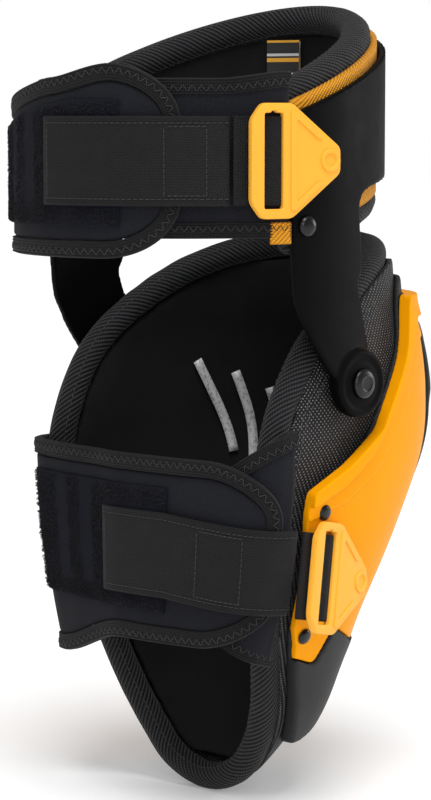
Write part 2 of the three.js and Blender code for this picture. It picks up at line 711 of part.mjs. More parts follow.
const CALF_MIDDLE = 119;
const CALF_TIP = -0.8;
const calfHalf = (s) => 35 * (0.45 + 0.55 * rounded(s, CALF_TIP, 0.3));
const webMiddle = (s) => 117.5 - 9 * Math.max(0, -s - 0.3);
const nearRise = (s) => THREE.MathUtils.smoothstep(-s, 0.45, 0.95);
add("calf_strap_near", calfBand(CALF_NEAR, -1, -0.05,
  (s) => 82 - 14 * nearRise(s), (s) => 152 + 22 * nearRise(s), 12), BLACK_FABRIC());
add("calf_strap_wrap", calfBand(CALF_WRAP, CALF_TIP, 1,
  (s) => CALF_MIDDLE - calfHalf(s) - 14 * THREE.MathUtils.smoothstep(s, 0, 0.7),
  (s) => CALF_MIDDLE + calfHalf(s), 24), BLACK_FABRIC());
add("calf_loop_patch", calfBand(CALF_PATCH, -0.3, 0.75, () => 90, () => 148, 14), BLUE_BLACK());
add("calf_elastic", calfBand(CALF_WEB, -0.89, 0.12, (s) => webMiddle(s) - WEB_WIDTH / 2,
  (s) => webMiddle(s) + WEB_WIDTH / 2, 16), BLACK_FABRIC());

// ---------------------------------------------------------------- buckles
// Local axes of a buckle: origin on the stud, +x towards the tip, +y up, +z outward.
const BUCKLE_OUTLINE = [
  [5.5, -5.5], [5.5, 5.5], [-19.5, 24.5], [-36.5, 24.5], [-40, 19.5], [-40, -19.5], [-36.5, -24.5],
  [-19.5, -24.5],
];
const SLOT = { from: -33.5, to: -24, half: 20.3 };
const STUD_PIN = 2.7;
const STUD_DEPTH = 1.7;
const STUD_BOSS = 7.5;
// Section of the webbing that comes in a given drop below the plate, passes under the outer bar and
// rises into the slot, as [x, z].
const webSection = (drop) => [
  [-44.5, -drop - 1.4], [-44.5, -drop], [-35, -0.5 - drop / 4], [-32, -0.5], [-27, 1.9], [-24.4, 1.9],
  [-24.4, 0.6], [-26.5, 0.4], [-32, -1.9], [-35, -1.9 - drop / 4],
];

function buckleAxes(stud, bar, up) {
  const forward = stud.clone().sub(bar).normalize();
  const outward = forward.clone().cross(up).normalize();
  const upright = outward.clone().cross(forward);
  return new THREE.Matrix4().makeBasis(forward, upright, outward).setPosition(stud);
}

function slotPath() {
  const { from, to, half } = SLOT;
  const path = new THREE.Path();
  path.moveTo(from, -half);
  path.lineTo(to, -half);
  path.lineTo(to, half);
  path.lineTo(from, half);
  path.closePath();
  return path;
}

function buckleGeometry(axes) {
  const shape = outline(BUCKLE_OUTLINE);
  shape.holes.push(slotPath());
  const plate = solidOf(new THREE.ExtrudeGeometry(shape, { depth: BUCKLE_THICK, bevelEnabled: false }));
  const origin = new THREE.Vector3();
  const outward = new THREE.Vector3(0, 0, 1);
  const recess = bar(origin, outward, -1, STUD_DEPTH + GAP, STUD_PIN + GAP, 16);
  const button = bar(origin, outward, BUCKLE_THICK - 0.5, BUCKLE_THICK + 0.9, 4.8, 20);
  return geometryOf(plate.subtract(recess).add(button)).applyMatrix4(axes);
}

function webTab(axes, drop) {
  const section = outline(webSection(drop));
  const geometry = new THREE.ExtrudeGeometry(section, { depth: WEB_WIDTH, bevelEnabled: false });
  const turn = new THREE.Matrix4().makeBasis(
    new THREE.Vector3(1, 0, 0), new THREE.Vector3(0, 0, 1), new THREE.Vector3(0, -1, 0));
  geometry.applyMatrix4(turn);
  geometry.translate(0, WEB_WIDTH / 2, 0);
  return geometryOf(solidOf(geometry)).applyMatrix4(axes);
}

// Stud of a buckle: a pin on a boss that is trimmed to the surface under it.
function buckleStud(axes, under) {
  const origin = new THREE.Vector3();
  const outward = new THREE.Vector3(0, 0, 1);
  const boss = bar(origin, outward, -9, -GAP, STUD_BOSS, 20);
  const stud = boss.add(bar(origin, outward, -1, STUD_DEPTH, STUD_PIN, 16));
  const pieces = solidOf(geometryOf(stud).applyMatrix4(axes)).subtract(under).decompose();
  return pieces.sort((a, b) => b.volume() - a.volume())[0];
}

const UP = new THREE.Vector3(0, 0, 1);
const thighOutward = ringNormal(THIGH_BUCKLE_ANGLE);
const thighForward = UP.clone().cross(thighOutward);
const thighTouch = onRing(THIGH_BUCKLE_STAND, THIGH_BUCKLE_ANGLE, THIGH_WEB_MIDDLE);
const thighStud = thighTouch.clone().addScaledVector(thighForward, 17);
const thighAxes = buckleAxes(thighStud, thighTouch, UP);
const underThigh = solidOf(ringBand([-25, SHELL[1] + GAP], -150, 150, () => 170, () => 360, 1, 6));

const CALF_STUD = new THREE.Vector3(-74.2, -24, 103);
const CALF_BAR = new THREE.Vector3(-82, 14, 110.5);
const CALF_UP = new THREE.Vector3(0.06, -0.21, 0.97);
const calfAxes = buckleAxes(CALF_STUD, CALF_BAR, CALF_UP);
const underCalf = cupLayer([-5, FRAME[1] + GAP]);

add("thigh_buckle", buckleGeometry(thighAxes), BUCKLE_YELLOW());
add("thigh_elastic_tab", webTab(thighAxes, 3.6), BLACK_FABRIC());
add("thigh_buckle_stud", buckleStud(thighAxes, underThigh), BLACK_NYLON());
add("calf_buckle", buckleGeometry(calfAxes), BUCKLE_YELLOW());
add("calf_elastic_tab", webTab(calfAxes, 1), BLACK_FABRIC());
add("calf_buckle_stud", buckleStud(calfAxes, underCalf), BLACK_NYLON());

export default part;
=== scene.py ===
"""Looks of a hinged knee guard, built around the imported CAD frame.

Lengths are millimetres in the CAD's own axes until make() turns them into metres.
The surfaces (knee cup, thigh oval, calf line) repeat the CAD's driving dimensions at a finer step.
"""
import json
import math

import bpy
import numpy as np
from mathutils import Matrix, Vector


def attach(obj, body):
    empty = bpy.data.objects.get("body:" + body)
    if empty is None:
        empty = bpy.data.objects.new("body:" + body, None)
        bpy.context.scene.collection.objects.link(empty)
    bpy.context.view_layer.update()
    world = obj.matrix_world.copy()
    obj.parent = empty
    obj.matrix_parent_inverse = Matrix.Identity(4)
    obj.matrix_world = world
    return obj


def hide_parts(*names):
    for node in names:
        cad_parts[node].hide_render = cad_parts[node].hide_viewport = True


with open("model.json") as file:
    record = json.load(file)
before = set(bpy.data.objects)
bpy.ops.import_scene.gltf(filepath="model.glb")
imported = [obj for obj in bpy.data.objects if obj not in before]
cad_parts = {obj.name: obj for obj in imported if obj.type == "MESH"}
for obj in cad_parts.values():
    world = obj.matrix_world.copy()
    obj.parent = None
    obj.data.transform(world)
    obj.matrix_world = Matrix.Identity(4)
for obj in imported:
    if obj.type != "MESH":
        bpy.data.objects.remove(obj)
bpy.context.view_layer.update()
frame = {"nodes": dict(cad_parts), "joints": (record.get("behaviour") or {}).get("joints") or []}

# ---------------------------------------------------------------- driving dimensions
MM = 0.001
PIVOT_FROM_LEG = -21.0
JOINTS = {joint["name"]: joint for joint in frame["joints"]}
_, FLEX_Y, PIVOT_Z = np.array(JOINTS["thigh_flex"]["pos_m"]) / MM
LEG_Y = FLEX_Y - PIVOT_FROM_LEG             # the leg axis in the frame
PIVOT = np.array([0, PIVOT_FROM_LEG, PIVOT_Z])
SIDES = (("left", -1), ("right", 1))

# Knee cup: rim as [half width, y, z] and front line as [y, z], as in the CAD.
RIM = [
    (0, -90, 249), (27, -85, 248), (46, -66, 243), (57, -42, 233), (63, -15, 217), (66, 4, 200),
    (66.5, 18, 176), (66, 24, 147), (60, 18, 105), (49, 7, 66), (43, 1, 46), (33.5, -4, 27),
    (20, -6, 12), (0, -7, 5.8),
]
FRONT = [
    (-90, 249), (-90, 236), (-93, 221), (-100, 203), (-105, 182), (-103, 158), (-85, 126),
    (-62, 91), (-52, 69), (-42, 44), (-30, 28), (-15, 13), (-7, 5.8),
]
SQUARENESS = [(6, 2.0), (30, 2.4), (75, 2.9), (150, 2.7), (205, 2.6), (247, 2.0)]
RIM_TUBE = 6.2
RIM_SPAN = 24                               # curve points from one key of the rim to the next

# Layers of the cup's wall: distances of the inner and outer face from its middle surface.
LINING_LAYER = (-5.4, -1.8)
COVER_LAYER = (3.6, 5.7)
BASE_LAYER = (6.2, 9.0)
FOOT_LAYER = (8.8, 13.6)
FRAME_LAYER = (9.5, 12.6)
LIP_LAYER = (11.5, 16.0)
FACET_LAYER = (11.5, 13.5)
CAP_LAYER = (9.4, 14.2)

# Thigh cuff: half axes of the oval that is the outer face of the shell.
OVAL = (80.5, 88.3)
WEB_WIDTH = 38.0
WEB_MIDDLE = 290.0


# ---------------------------------------------------------------- curves
def catmull(keys, per_span, closed=False):
    """Points of a uniform Catmull-Rom curve through the keys."""
    keys = np.asarray(keys, float)
    if closed:
        padded = np.vstack([keys[-1:], keys, keys[:2]])
    else:
        padded = np.vstack([2 * keys[:1] - keys[1:2], keys, 2 * keys[-1:] - keys[-2:-1]])
    t = (np.arange(per_span) / per_span)[:, None]
    spans = []
    for i in range(1, len(padded) - 2):
        a, b, c, d = padded[i - 1:i + 3]
        spans.append(0.5 * (2 * b + (c - a) * t + (2 * a - 5 * b + 4 * c - d) * t ** 2
                            + (3 * b - a - 3 * c + d) * t ** 3))
    points = np.vstack(spans)
    return points if closed else np.vstack([points, keys[-1:]])


def lengths(points):
    """Distance along a path to each of its points."""
    steps = np.linalg.norm(np.diff(points, axis=0), axis=1)
    return np.concatenate([[0], np.cumsum(steps)])


def sampled(wanted, run, values):
    """Rows of values, known at the distances in run, at the wanted distances."""
    return np.stack([np.interp(wanted, run, column) for column in values.T], -1)


def resample(loop, step):
    """The same closed path with points a constant step apart."""
    path = np.vstack([loop, loop[:1]])
    run = lengths(path)
    return sampled(np.linspace(0, run[-1], round(run[-1] / step) + 1)[:-1], run, path)


def bend(before, here, after, radius, share, steps):
    """Points of one rounded corner, which takes at most a share of each of its two sides."""
    here = np.array(here, float)
    ends = []
    for other in (before, after):
        side = np.array(other, float) - here
        length = np.linalg.norm(side)
        ends.append(here + side / length * min(radius, share * length))
    return [(1 - t) ** 2 * ends[0] + 2 * t * (1 - t) * here + t ** 2 * ends[1]
            for t in np.linspace(0, 1, steps)]


def fillet(points, radius, steps=5, sharp=()):
    """Closed outline with its corners rounded, apart from the corners whose numbers are in sharp."""
    result = []
    for i, here in enumerate(points):
        if i in sharp:
            result.append(np.array(here, float))
        else:
            result += bend(points[i - 1], here, points[(i + 1) % len(points)], radius, 0.45, steps)
    return np.array(result)


def rounded_profile(points, radius):
    """Turned profile with small rounds at its inner corners."""
    result = [points[0]]
    for corner in zip(points, points[1:], points[2:]):
        result += bend(*corner, radius, 0.4, 4)
    return result + [points[-1]]


def circle(radius, sides, squash=1.0):
    turn = np.linspace(0, 2 * math.pi, sides, endpoint=False)
    return np.stack([radius * np.cos(turn), radius * squash * np.sin(turn)], 1)


def smoothstep(x, low, high):
    t = np.clip((np.asarray(x, float) - low) / (high - low), 0, 1)
    return t * t * (3 - 2 * t)


def smoothed(values):
    """Running mean over five values; the two at each end stay."""
    values[2:-2] = np.convolve(values, np.ones(5) / 5, "valid")
    return values


def rounded_end(place, tip, span):
    """Rises from 0 at the tip to 1 a span away, as a quarter circle."""
    t = min(abs(place - tip) / span, 1)
    return math.sqrt(1 - (1 - t) ** 2)


def unit(vectors):
    return vectors / np.maximum(np.linalg.norm(vectors, axis=-1, keepdims=True), 1e-9)


# ---------------------------------------------------------------- surfaces
RIM_LOOP = catmull(RIM + [(-x, y, z) for x, y, z in RIM[-2:0:-1]], RIM_SPAN, closed=True)
RIM_X, RIM_Y, RIM_Z = RIM_LOOP[RIM_SPAN * (len(RIM) - 1)::-1].T     # one half, from the bottom up
FRONT_Y, FRONT_Z = catmull(FRONT, RIM_SPAN)[::-1].T


def cup_middle(across, z):
    """Point of the cup's middle surface, across from -1 (left rim) over 0 (front) to 1 (right rim)."""
    rim_y = np.interp(z, RIM_Z, RIM_Y)
    power = 2 / np.interp(z, *np.array(SQUARENESS).T)
    turn = across * math.pi / 2
    x = np.sign(turn) * np.interp(z, RIM_Z, RIM_X) * np.abs(np.sin(turn)) ** power
    y = rim_y - (rim_y - np.interp(z, FRONT_Z, FRONT_Y)) * np.maximum(np.cos(turn), 0) ** power
    return np.stack([x, y, z], -1)


def cup_normal(across, z):
    step, rise, margin = 0.012, 2, 0.2
    sideways = cup_middle(np.minimum(across + step, 1), z) - cup_middle(np.maximum(across - step, -1), z)
    upwards = (cup_middle(across, np.minimum(z + rise, RIM[0][2] - margin))
               - cup_middle(across, np.maximum(z - rise, RIM[-1][2] + margin)))
    return unit(np.cross(sideways, upwards))


def cup(across, z, distance):
    """Point of the knee cup's wall, at a distance outward from its middle surface."""
    across, z = np.broadcast_arrays(np.asarray(across, float), np.asarray(z, float))
    return cup_middle(across, z) + cup_normal(across, z) * np.asarray(distance)[..., None]


def cup_limit(z, clear):
    """Largest value of across that stays a given distance from the rim line."""
    tries = np.linspace(0, 1, 240)
    points = cup_middle(tries, np.full(240, float(z)))
    gaps = np.linalg.norm(points[:, None] - RIM_LOOP[None, ::3], axis=2).min(1)
    inside = np.nonzero(gaps < clear)[0]
    return tries[inside[0]] if len(inside) else 1.0


def oval(angle, z, distance):
    """Point of the thigh cuff; the angle is measured from the front towards -X, in degrees."""
    turn = np.radians(angle)
    x = -(OVAL[0] + distance) * np.sin(turn)
    y = -(OVAL[1] + distance) * np.cos(turn)
    return np.stack(np.broadcast_arrays(x, y, z), -1).astype(float)


CALF_PLAN = [(8.7, 11), (9.0, 20), (6.8, 28), (-4, 34.5), (-30, 39.5), (-66, 41)]    # (past the rim, y)
CALF_LOW, CALF_HIGH, CALF_ROWS, CALF_COLUMNS = 58, 182, 32, 400
CALF_NEAR_THICKNESS = 3.2


def calf_table():
    """Plan line of the calf strap at each row's height."""
    table = []
    for z in np.linspace(CALF_LOW, CALF_HIGH, CALF_ROWS):
        half = np.interp(z, RIM_Z, RIM_X)
        left = [(-max(half + dx, 0), y) for dx, y in CALF_PLAN]
        left[-1] = (0, left[-1][1])
        path = catmull(left + [(-x, y) for x, y in left[-2::-1]], 30)
        run = lengths(path) / lengths(path)[-1]
        table.append(sampled(np.linspace(0, 1, CALF_COLUMNS + 1), run, path))
    return np.array(table)


CALF_TABLE = calf_table()


def calf(s, z, distance):
    """Point of the calf strap, s from -1 (left root) over 0 (back middle) to 1 (right root)."""
    s, z, distance = np.broadcast_arrays(*(np.asarray(v, float) for v in (s, z, distance)))
    row = np.clip((z - CALF_LOW) * (CALF_ROWS - 1) / (CALF_HIGH - CALF_LOW), 0, CALF_ROWS - 1.001)
    wanted = (s + 1) / 2 * CALF_COLUMNS
    column = np.clip(wanted, 2, CALF_COLUMNS - 2.01)

    def look(col):
        r, c = row.astype(int), col.astype(int)
        up, on = (row - r)[..., None], (col - c)[..., None]
        low, high = (CALF_TABLE[k, c] * (1 - on) + CALF_TABLE[k, c + 1] * on for k in (r, r + 1))
        return low * (1 - up) + high * up

    along = unit(look(column + 1.5) - look(column - 1.5))
    lift = distance - CALF_NEAR_THICKNESS * smoothstep(s, 0, 0.3)
    here = look(column) + np.stack([-along[..., 1], along[..., 0]], -1) * lift[..., None]
    here = here + along * (wanted - column)[..., None] * 0.6
    return np.concatenate([here, z[..., None]], -1)


# ---------------------------------------------------------------- mesh making
def make(name, points, faces, material, uv=None, smooth=True):
    """A mesh object from millimetre points; uv is one pair for each face corner."""
    mesh = bpy.data.meshes.new(name)
    places = (np.asarray(points, float).reshape(-1, 3) + (0, LEG_Y, 0)) * MM
    mesh.from_pydata(places.tolist(), [], [tuple(int(i) for i in face) for face in faces])
    if uv is not None:
        layer = mesh.uv_layers.new(name="weave")
        layer.data.foreach_set("uv", np.asarray(uv, float).ravel())
    mesh.validate()
    obj = bpy.data.objects.new(name, mesh)
    bpy.context.scene.collection.objects.link(obj)
    mesh.materials.append(material)
    if smooth:
        mesh.shade_smooth()
    return obj


def vertices_of(mesh):
    flat = np.zeros(len(mesh.vertices) * 3)
    mesh.vertices.foreach_get("co", flat)
    return flat.reshape(-1, 3)


def evaluated_mesh(obj):
    return bpy.data.meshes.new_from_object(obj.evaluated_get(bpy.context.evaluated_depsgraph_get()))


def face_out(obj):
    """Turns all faces round if they enclose a negative volume."""
    mesh = obj.data
    mesh.calc_loop_triangles()
    corners = np.zeros(len(mesh.loop_triangles) * 3, int)
    mesh.loop_triangles.foreach_get("vertices", corners)
    a, b, c = vertices_of(mesh)[corners.reshape(-1, 3)].transpose(1, 0, 2)
    if np.einsum("ij,ij->i", a, np.cross(b, c)).sum() < 0:
        mesh.flip_normals()
    return obj


def loft_data(rings, closed, middle=0):
    """Faces and corner uv (in millimetres) of a skin over closed rings, with ladder caps at open ends."""
    count, sides = rings.shape[:2]
    around = np.concatenate([rings, rings[:, :1]], 1)
    v = np.concatenate([np.zeros((count, 1)),
                        np.cumsum(np.linalg.norm(np.diff(around, axis=1), axis=2), axis=1)], 1)
    v = v - v[:, middle:middle + 1]
    looped = np.concatenate([rings, rings[:1]], 0) if closed else rings
    u = np.concatenate([[0], np.cumsum(np.linalg.norm(np.diff(looped, axis=0), axis=2).mean(1))])
    spans = count if closed else count - 1
    r, c = np.meshgrid(np.arange(spans), np.arange(sides), indexing="ij")
    corners = [(r, c), (r + 1, c), (r + 1, c + 1), (r, c + 1)]
    index = np.stack([(a % count) * sides + b % sides for a, b in corners], -1).reshape(-1, 4)
    uv = np.stack([np.stack([u[a], v[a % count, b]], -1) for a, b in corners], -2).reshape(-1, 4, 2)
    faces = index.tolist()
    uvs = uv.reshape(-1, 2).tolist()
    if not closed:
        for ring, flip in ((0, False), (count - 1, True)):
            base = ring * sides
            for i in range(sides // 2 - 1):
                face = [base + i, base + i + 1, base + sides - 2 - i, base + sides - 1 - i]
                faces.append(face[::-1] if flip else face)
                uvs += [[u[ring], v[ring, j - base]] for j in faces[-1]]
    return faces, uvs


def loft(name, rings, material, closed=False, middle=0, smooth=True):
    rings = np.asarray(rings, float)
    faces, uvs = loft_data(rings, closed, middle)
    return face_out(make(name, rings, faces, material, uvs, smooth))


def join_meshes(name, parts, material):
    """One mesh object from several lists of rings."""
    points, faces, uvs = [], [], []
    offset = 0
    for rings in parts:
        rings = np.asarray(rings, float)
        more, corner = loft_data(rings, False)
        faces += [[i + offset for i in face] for face in more]
        uvs += corner
        points.append(rings.reshape(-1, 3))
        offset += rings.shape[0] * rings.shape[1]
    return make(name, np.vstack(points), faces, material, uvs)


def band_section(low, high, inner, outer, count, relief=None):
    """Section of a flat strap as (z, distance), with round edges; relief adds to its outer face."""
    half = (outer - inner) / 2
    middle = (outer + inner) / 2
    side = np.linspace(low + half, high - half, count)
    face = np.full(count, outer, float)
    if relief is not None:
        face = face + relief(side, low, high)
    arc = np.radians(np.linspace(90, -90, 7)[1:-1])
    top = np.stack([high - half + half * np.cos(arc), middle + half * np.sin(arc)], 1)
    bottom = np.stack([low + half - half * np.cos(arc), middle - half * np.sin(arc)], 1)
    return np.vstack([np.stack([side, face], 1), top, np.stack([side[::-1], np.full(count, inner)], 1), bottom])


def band(name, surface, places, low, high, inner, outer, material, count, relief=None, wave=0.0):
    """Strap along a surface between two edges that are functions of the place along it."""
    middle = (inner + outer) / 2
    last = len(places) - 1
    rings = []
    for i, s in enumerate(places):
        section = band_section(low(s), high(s), inner, outer, count, relief)
        pinch = {0: 0.35, 1: 0.75}.get(min(i, last - i), 1.0)
        section[:, 1] = middle + (section[:, 1] - middle) * pinch
        section[:, 1] += wave * np.sin(i * 0.37 + section[:, 0] * 0.09) * np.cos(i * 0.13 + 1.3)
        rings.append(surface(s, section[:, 0], section[:, 1]))
    return loft(name, rings, material)


def frames(path, outward, closed):
    """Unit directions across and outward at each point of a path."""
    if closed:
        along = unit(np.roll(path, -1, 0) - np.roll(path, 1, 0))
    else:
        along = unit(np.gradient(path, axis=0))
    outward = unit(outward - np.einsum("ij,ij->i", outward, along)[:, None] * along)
    return np.cross(along, outward), outward


def sweep_rings(path, outward, section, closed=False, taper=None):
    """A section of (across, outward) points carried along a path, and scaled by the taper."""
    across, out = frames(path, outward, closed)
    section = np.asarray(section, float)
    scale = np.ones((len(path), 1, 1)) if taper is None else taper[:, None, None]
    return (path[:, None] + across[:, None] * section[None, :, :1] * scale
            + out[:, None] * section[None, :, 1:] * scale)


def stitch_rings(start, end, outward, radius):
    """One thread stitch: a short round bar whose ends dip into the cloth."""
    steps = np.array([0, 0.12, 0.5, 0.88, 1.0])
    lift = np.array([-0.9, 0.1, 0.45, 0.1, -0.9]) * radius - 0.25 * radius
    path = start + (end - start) * steps[:, None] + unit(outward) * lift[:, None]
    return sweep_rings(path, np.tile(outward, (5, 1)), circle(radius, 6))


def stitches(name, path, outward, material, pitch, length, radius, swing=0.0):
    """A row of stitches along a path; swing makes it a zig-zag of that width."""
    run = lengths(path)
    parts = []
    for i in range(int(run[-1] / pitch)):
        middle = (i + 0.5) * pitch
        start, end = sampled(np.array([middle - length / 2, middle + length / 2]), run, path)
        out = sampled(middle, run, outward)
        side = unit(np.cross(end - start, out)) * swing / 2 * (1 if i % 2 else -1)
        parts.append(stitch_rings(start - side, end + side, out, radius))
    return join_meshes(name, parts, material)


def lathe(name, origin, axis, profile, material, sides):
    """Turned piece about an axis, from a profile of (radius, height) points."""
    axis = unit(np.array(axis, float))
    side = unit(np.cross(axis, (0.3, 0.5, 0.81)))
    turn = np.linspace(0, 2 * math.pi, sides, endpoint=False)
    ring = np.outer(np.cos(turn), side) + np.outer(np.sin(turn), np.cross(axis, side))
    return loft(name, [np.array(origin) + ring * max(radius, 0.01) + axis * height
                       for radius, height in profile], material)


def applied(obj, **modifiers):
    """Adds modifiers in order, as kind=dict(settings), and keeps their result as the mesh."""
    for kind, values in modifiers.items():
        modifier = obj.modifiers.new(kind, kind)
        for key, value in values.items():
            setattr(modifier, key, value)
    mesh = evaluated_mesh(obj)
    obj.modifiers.clear()
    old = obj.data
    obj.data = mesh
    bpy.data.meshes.remove(old)
    mesh.shade_smooth()
    return obj


def prism(outline, axis):
    """Long cutter: axis "x" takes (y, z) points through both sides, "y" takes (x, z) points in front."""
    column, places = (0, (-150, 150)) if axis == "x" else (1, (-170, -20))
    points = np.vstack([np.insert(np.asarray(outline, float), column, place, axis=1) for place in places])
    count = len(outline)
    faces = [[i, (i + 1) % count, count + (i + 1) % count, count + i] for i in range(count)]
    faces += [list(range(count))[::-1], list(range(count, 2 * count))]
    return face_out(make("cutter", points, faces, None, smooth=False))


def cut(obj, cutter, operation):
    """Boolean with a cutter that is then thrown away."""
    applied(obj, BOOLEAN=dict(operation=operation, solver="MANIFOLD", object=cutter))
    bpy.data.objects.remove(cutter)
    return obj


def merge(target, others):
    """Adds the meshes of other objects to the target's mesh."""
    points, faces = [], []
    for obj in [target] + others:
        offset = sum(len(p) for p in points)
        points.append(vertices_of(obj.data))
        faces += [[i + offset for i in polygon.vertices] for polygon in obj.data.polygons]
    mesh = bpy.data.meshes.new(target.name)
    mesh.from_pydata(np.vstack(points).tolist(), [], faces)
    for material in target.data.materials:
        mesh.materials.append(material)
    target.data = mesh
    for obj in others:
        bpy.data.objects.remove(obj)
    return target


def moulded(obj, voxel, passes):
    """Turns joined solids into one moulded skin with rounded edges."""
    return applied(obj, REMESH=dict(mode="VOXEL", voxel_size=voxel * MM, use_smooth_shade=True),
                   SMOOTH=dict(factor=0.5, iterations=passes))


def inflated(obj, voxel, pressure, cap, last_frame):
    """Swells a pad by cloth simulation: remesh, pressure with no gravity, and a cap on each point's travel."""
    applied(obj, REMESH=dict(mode="VOXEL", voxel_size=voxel * MM, use_smooth_shade=True))
    scene = bpy.context.scene
    before = vertices_of(obj.data)
    settings = obj.modifiers.new("cloth", "CLOTH").settings
    settings.use_pressure = True
    settings.uniform_pressure_force = pressure
    settings.effector_weights.gravity = 0
    settings.quality = 6
    settings.tension_stiffness = settings.compression_stiffness = 25
    settings.bending_stiffness = 2
    for number in range(1, last_frame + 1):
        scene.frame_set(number)
    mesh = evaluated_mesh(obj)
    travel = vertices_of(mesh) - before
    reach = np.linalg.norm(travel, axis=1, keepdims=True)
    travel *= np.minimum(1, cap * MM / np.maximum(reach, 1e-9))
    mesh.vertices.foreach_set("co", (before + travel).ravel())
    obj.modifiers.clear()
    obj.data = mesh
    scene.frame_set(1)
    return applied(obj, SMOOTH=dict(factor=0.5, iterations=2), SUBSURF=dict(levels=1))


def finish_piece(obj, body, slot, *nodes):
    """Rides a piece on its body and hides the CAD nodes that it stands for; the slot is not used."""
    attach(obj, body)
    if nodes:
        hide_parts(*nodes)
    return obj


def turned(name, origin, axis, profile, rounding, material, sides, body, slot, *nodes):
    """Finished turned piece with small rounds in its profile."""
    piece = lathe(name, origin, axis, rounded_profile(profile, rounding), material, sides)
    return finish_piece(piece, body, slot, *nodes)


# ---------------------------------------------------------------- material building blocks
class Shader:
    """Small helper that builds one Principled material from nodes."""

    def __init__(self, name, colour, roughness, specular=0.5, sheen=0.0, sheen_roughness=0.5, **sockets):
        self.material = bpy.data.materials.new(name)
        self.material.use_nodes = True
        self.tree = self.material.node_tree
        self.inputs = self.tree.nodes["Principled BSDF"].inputs
        self.inputs["Base Color"].default_value = (*colour, 1)
        sockets.update(Roughness=roughness, Specular_IOR_Level=specular, Sheen_Weight=sheen,
                       Sheen_Roughness=sheen_roughness)
        for socket, value in sockets.items():
            self.inputs[socket.replace("_", " ")].default_value = value

    def node(self, kind, inputs, **values):
        """New node with its settings, and its inputs fed by name or number."""
        node = self.tree.nodes.new(kind)
        for key, value in values.items():
            setattr(node, key, value)
        for socket, value in inputs.items():
            self.feed(node.inputs[socket], value)
        return node

    def feed(self, socket, value):
        if isinstance(value, bpy.types.NodeSocket):
            self.tree.links.new(value, socket)
        else:
            socket.default_value = value

    def uv(self):
        """Surface coordinates in millimetres."""
        return self.node("ShaderNodeUVMap", {}, uv_map="weave").outputs["UV"]

    def uv_parts(self):
        """The same coordinates one by one: along the piece and round it."""
        parts = self.node("ShaderNodeSeparateXYZ", {0: self.uv()}).outputs
        return parts[0], parts[1]

    def place(self):
        """Object coordinates in metres, which don't need a uv map."""
        return self.node("ShaderNodeTexCoord", {}).outputs["Object"]

    def math(self, operation, a, b=0.0):
        return self.node("ShaderNodeMath", {0: a, 1: b}, operation=operation).outputs[0]

    def add(self, a, b):
        return self.math("ADD", a, b)

    def times(self, a, b):
        return self.math("MULTIPLY", a, b)

    def raised(self, value, factor):
        """value x factor + 0.5, which is the node's own third input."""
        return self.math("MULTIPLY_ADD", value, factor)

    def wave(self, value, pitch):
        """Sine between 0 and 1 with the given pitch."""
        return self.raised(self.math("SINE", self.times(value, 2 * math.pi / pitch)), 0.5)

    def noise(self, vector, scale, detail=3.0, roughness=0.55):
        return self.node("ShaderNodeTexNoise", {"Vector": vector, "Scale": scale, "Detail": detail,
                                                "Roughness": roughness}).outputs["Fac"]

    def cells(self, vector, scale):
        return self.node("ShaderNodeTexVoronoi", {"Vector": vector, "Scale": scale}).outputs["Distance"]

    def between(self, value, low, high, to_low=0.0, to_high=1.0):
        return self.node("ShaderNodeMapRange", {"Value": value, "From Min": low, "From Max": high,
                                                "To Min": to_low, "To Max": to_high}).outputs["Result"]

    def blend(self, factor, a, b):
        """Colour between two colours or sockets."""
        a, b = (value if isinstance(value, bpy.types.NodeSocket) else (*value, 1) for value in (a, b))
        return self.node("ShaderNodeMix", {"Factor": factor, 6: a, 7: b}, data_type="RGBA").outputs[2]

    def paint(self, factor, a, b):
        """Base colour between two colours or sockets."""
        self.feed(self.inputs["Base Color"], self.blend(factor, a, b))

    def rough(self, value):
        self.feed(self.inputs["Roughness"], value)

    def bump(self, height, depth, strength):
        """Bump of a height between 0 and 1 that stands for a depth in millimetres; ends the material."""
        node = self.node("ShaderNodeBump", {"Strength": strength, "Distance": depth * MM, "Height": height})
        self.feed(self.inputs["Normal"], node.outputs["Normal"])
        return self.material


def tinted(colour, factor):
    return tuple(min(1.0, channel * factor) for channel in colour)


# ---------------------------------------------------------------- materials
def smooth_knit():
    """Brushed black polyester: fine knit ribs and a soft sheen."""
    shader = Shader("smooth_knit", (0.006, 0.006, 0.0065), 0.85, 0.15, 0.05, 0.4)
    place = shader.place()
    shader.paint(shader.noise(place, 60, 4), (0.0035, 0.0035, 0.004), (0.0085, 0.0085, 0.009))
    return shader.bump(shader.raised(shader.noise(place, 1800, 2), 0.6), 0.18, 0.6)


def twill_mesh(name, light, pit_colour_and_shade, pitch):
    """Spacer mesh with diagonal rows of small pits, laid along the roll; the pits are painted darker, as the
    dark inside of the holes and painted shade in them.
    """
    shader = Shader(name, light, 0.72, 0.2, 0.06, 0.35)
    u, v = shader.uv_parts()
    ridge = shader.wave(shader.add(u, v), pitch)
    cross = shader.wave(shader.math("SUBTRACT", u, shader.times(v, 1.9)), pitch * 0.95)
    pits = shader.times(ridge, shader.raised(cross, 0.6))
    thread = shader.blend(shader.noise(shader.place(), 30), tinted(light, 0.75), tinted(light, 1.25))
    # Painted shade: the deepest parts of the pits take the darker colour.
    shader.paint(shader.between(pits, 0.2, 0.85), pit_colour_and_shade, thread)
    return shader.bump(shader.add(pits, shader.times(shader.noise(shader.uv(), 2.2), 0.25)), 0.55, 0.9)


def woven_nylon():
    """Heavy black basket weave with staggered light grey flecks."""
    shader = Shader("woven_nylon", (0.006, 0.006, 0.007), 0.7, 0.2, 0.05)
    u, v = shader.uv_parts()
    weave = shader.times(shader.wave(shader.add(u, v), 2.5), shader.wave(shader.math("SUBTRACT", u, v), 2.5))
    patchy = shader.between(shader.noise(shader.uv(), 0.35, 2), 0.35, 0.65, 0.45, 1.0)
    fleck = shader.times(shader.between(weave, 0.5, 0.72), patchy)
    shader.paint(fleck, (0.004, 0.004, 0.0045), (0.22, 0.22, 0.225))
    return shader.bump(weave, 0.35, 0.9)


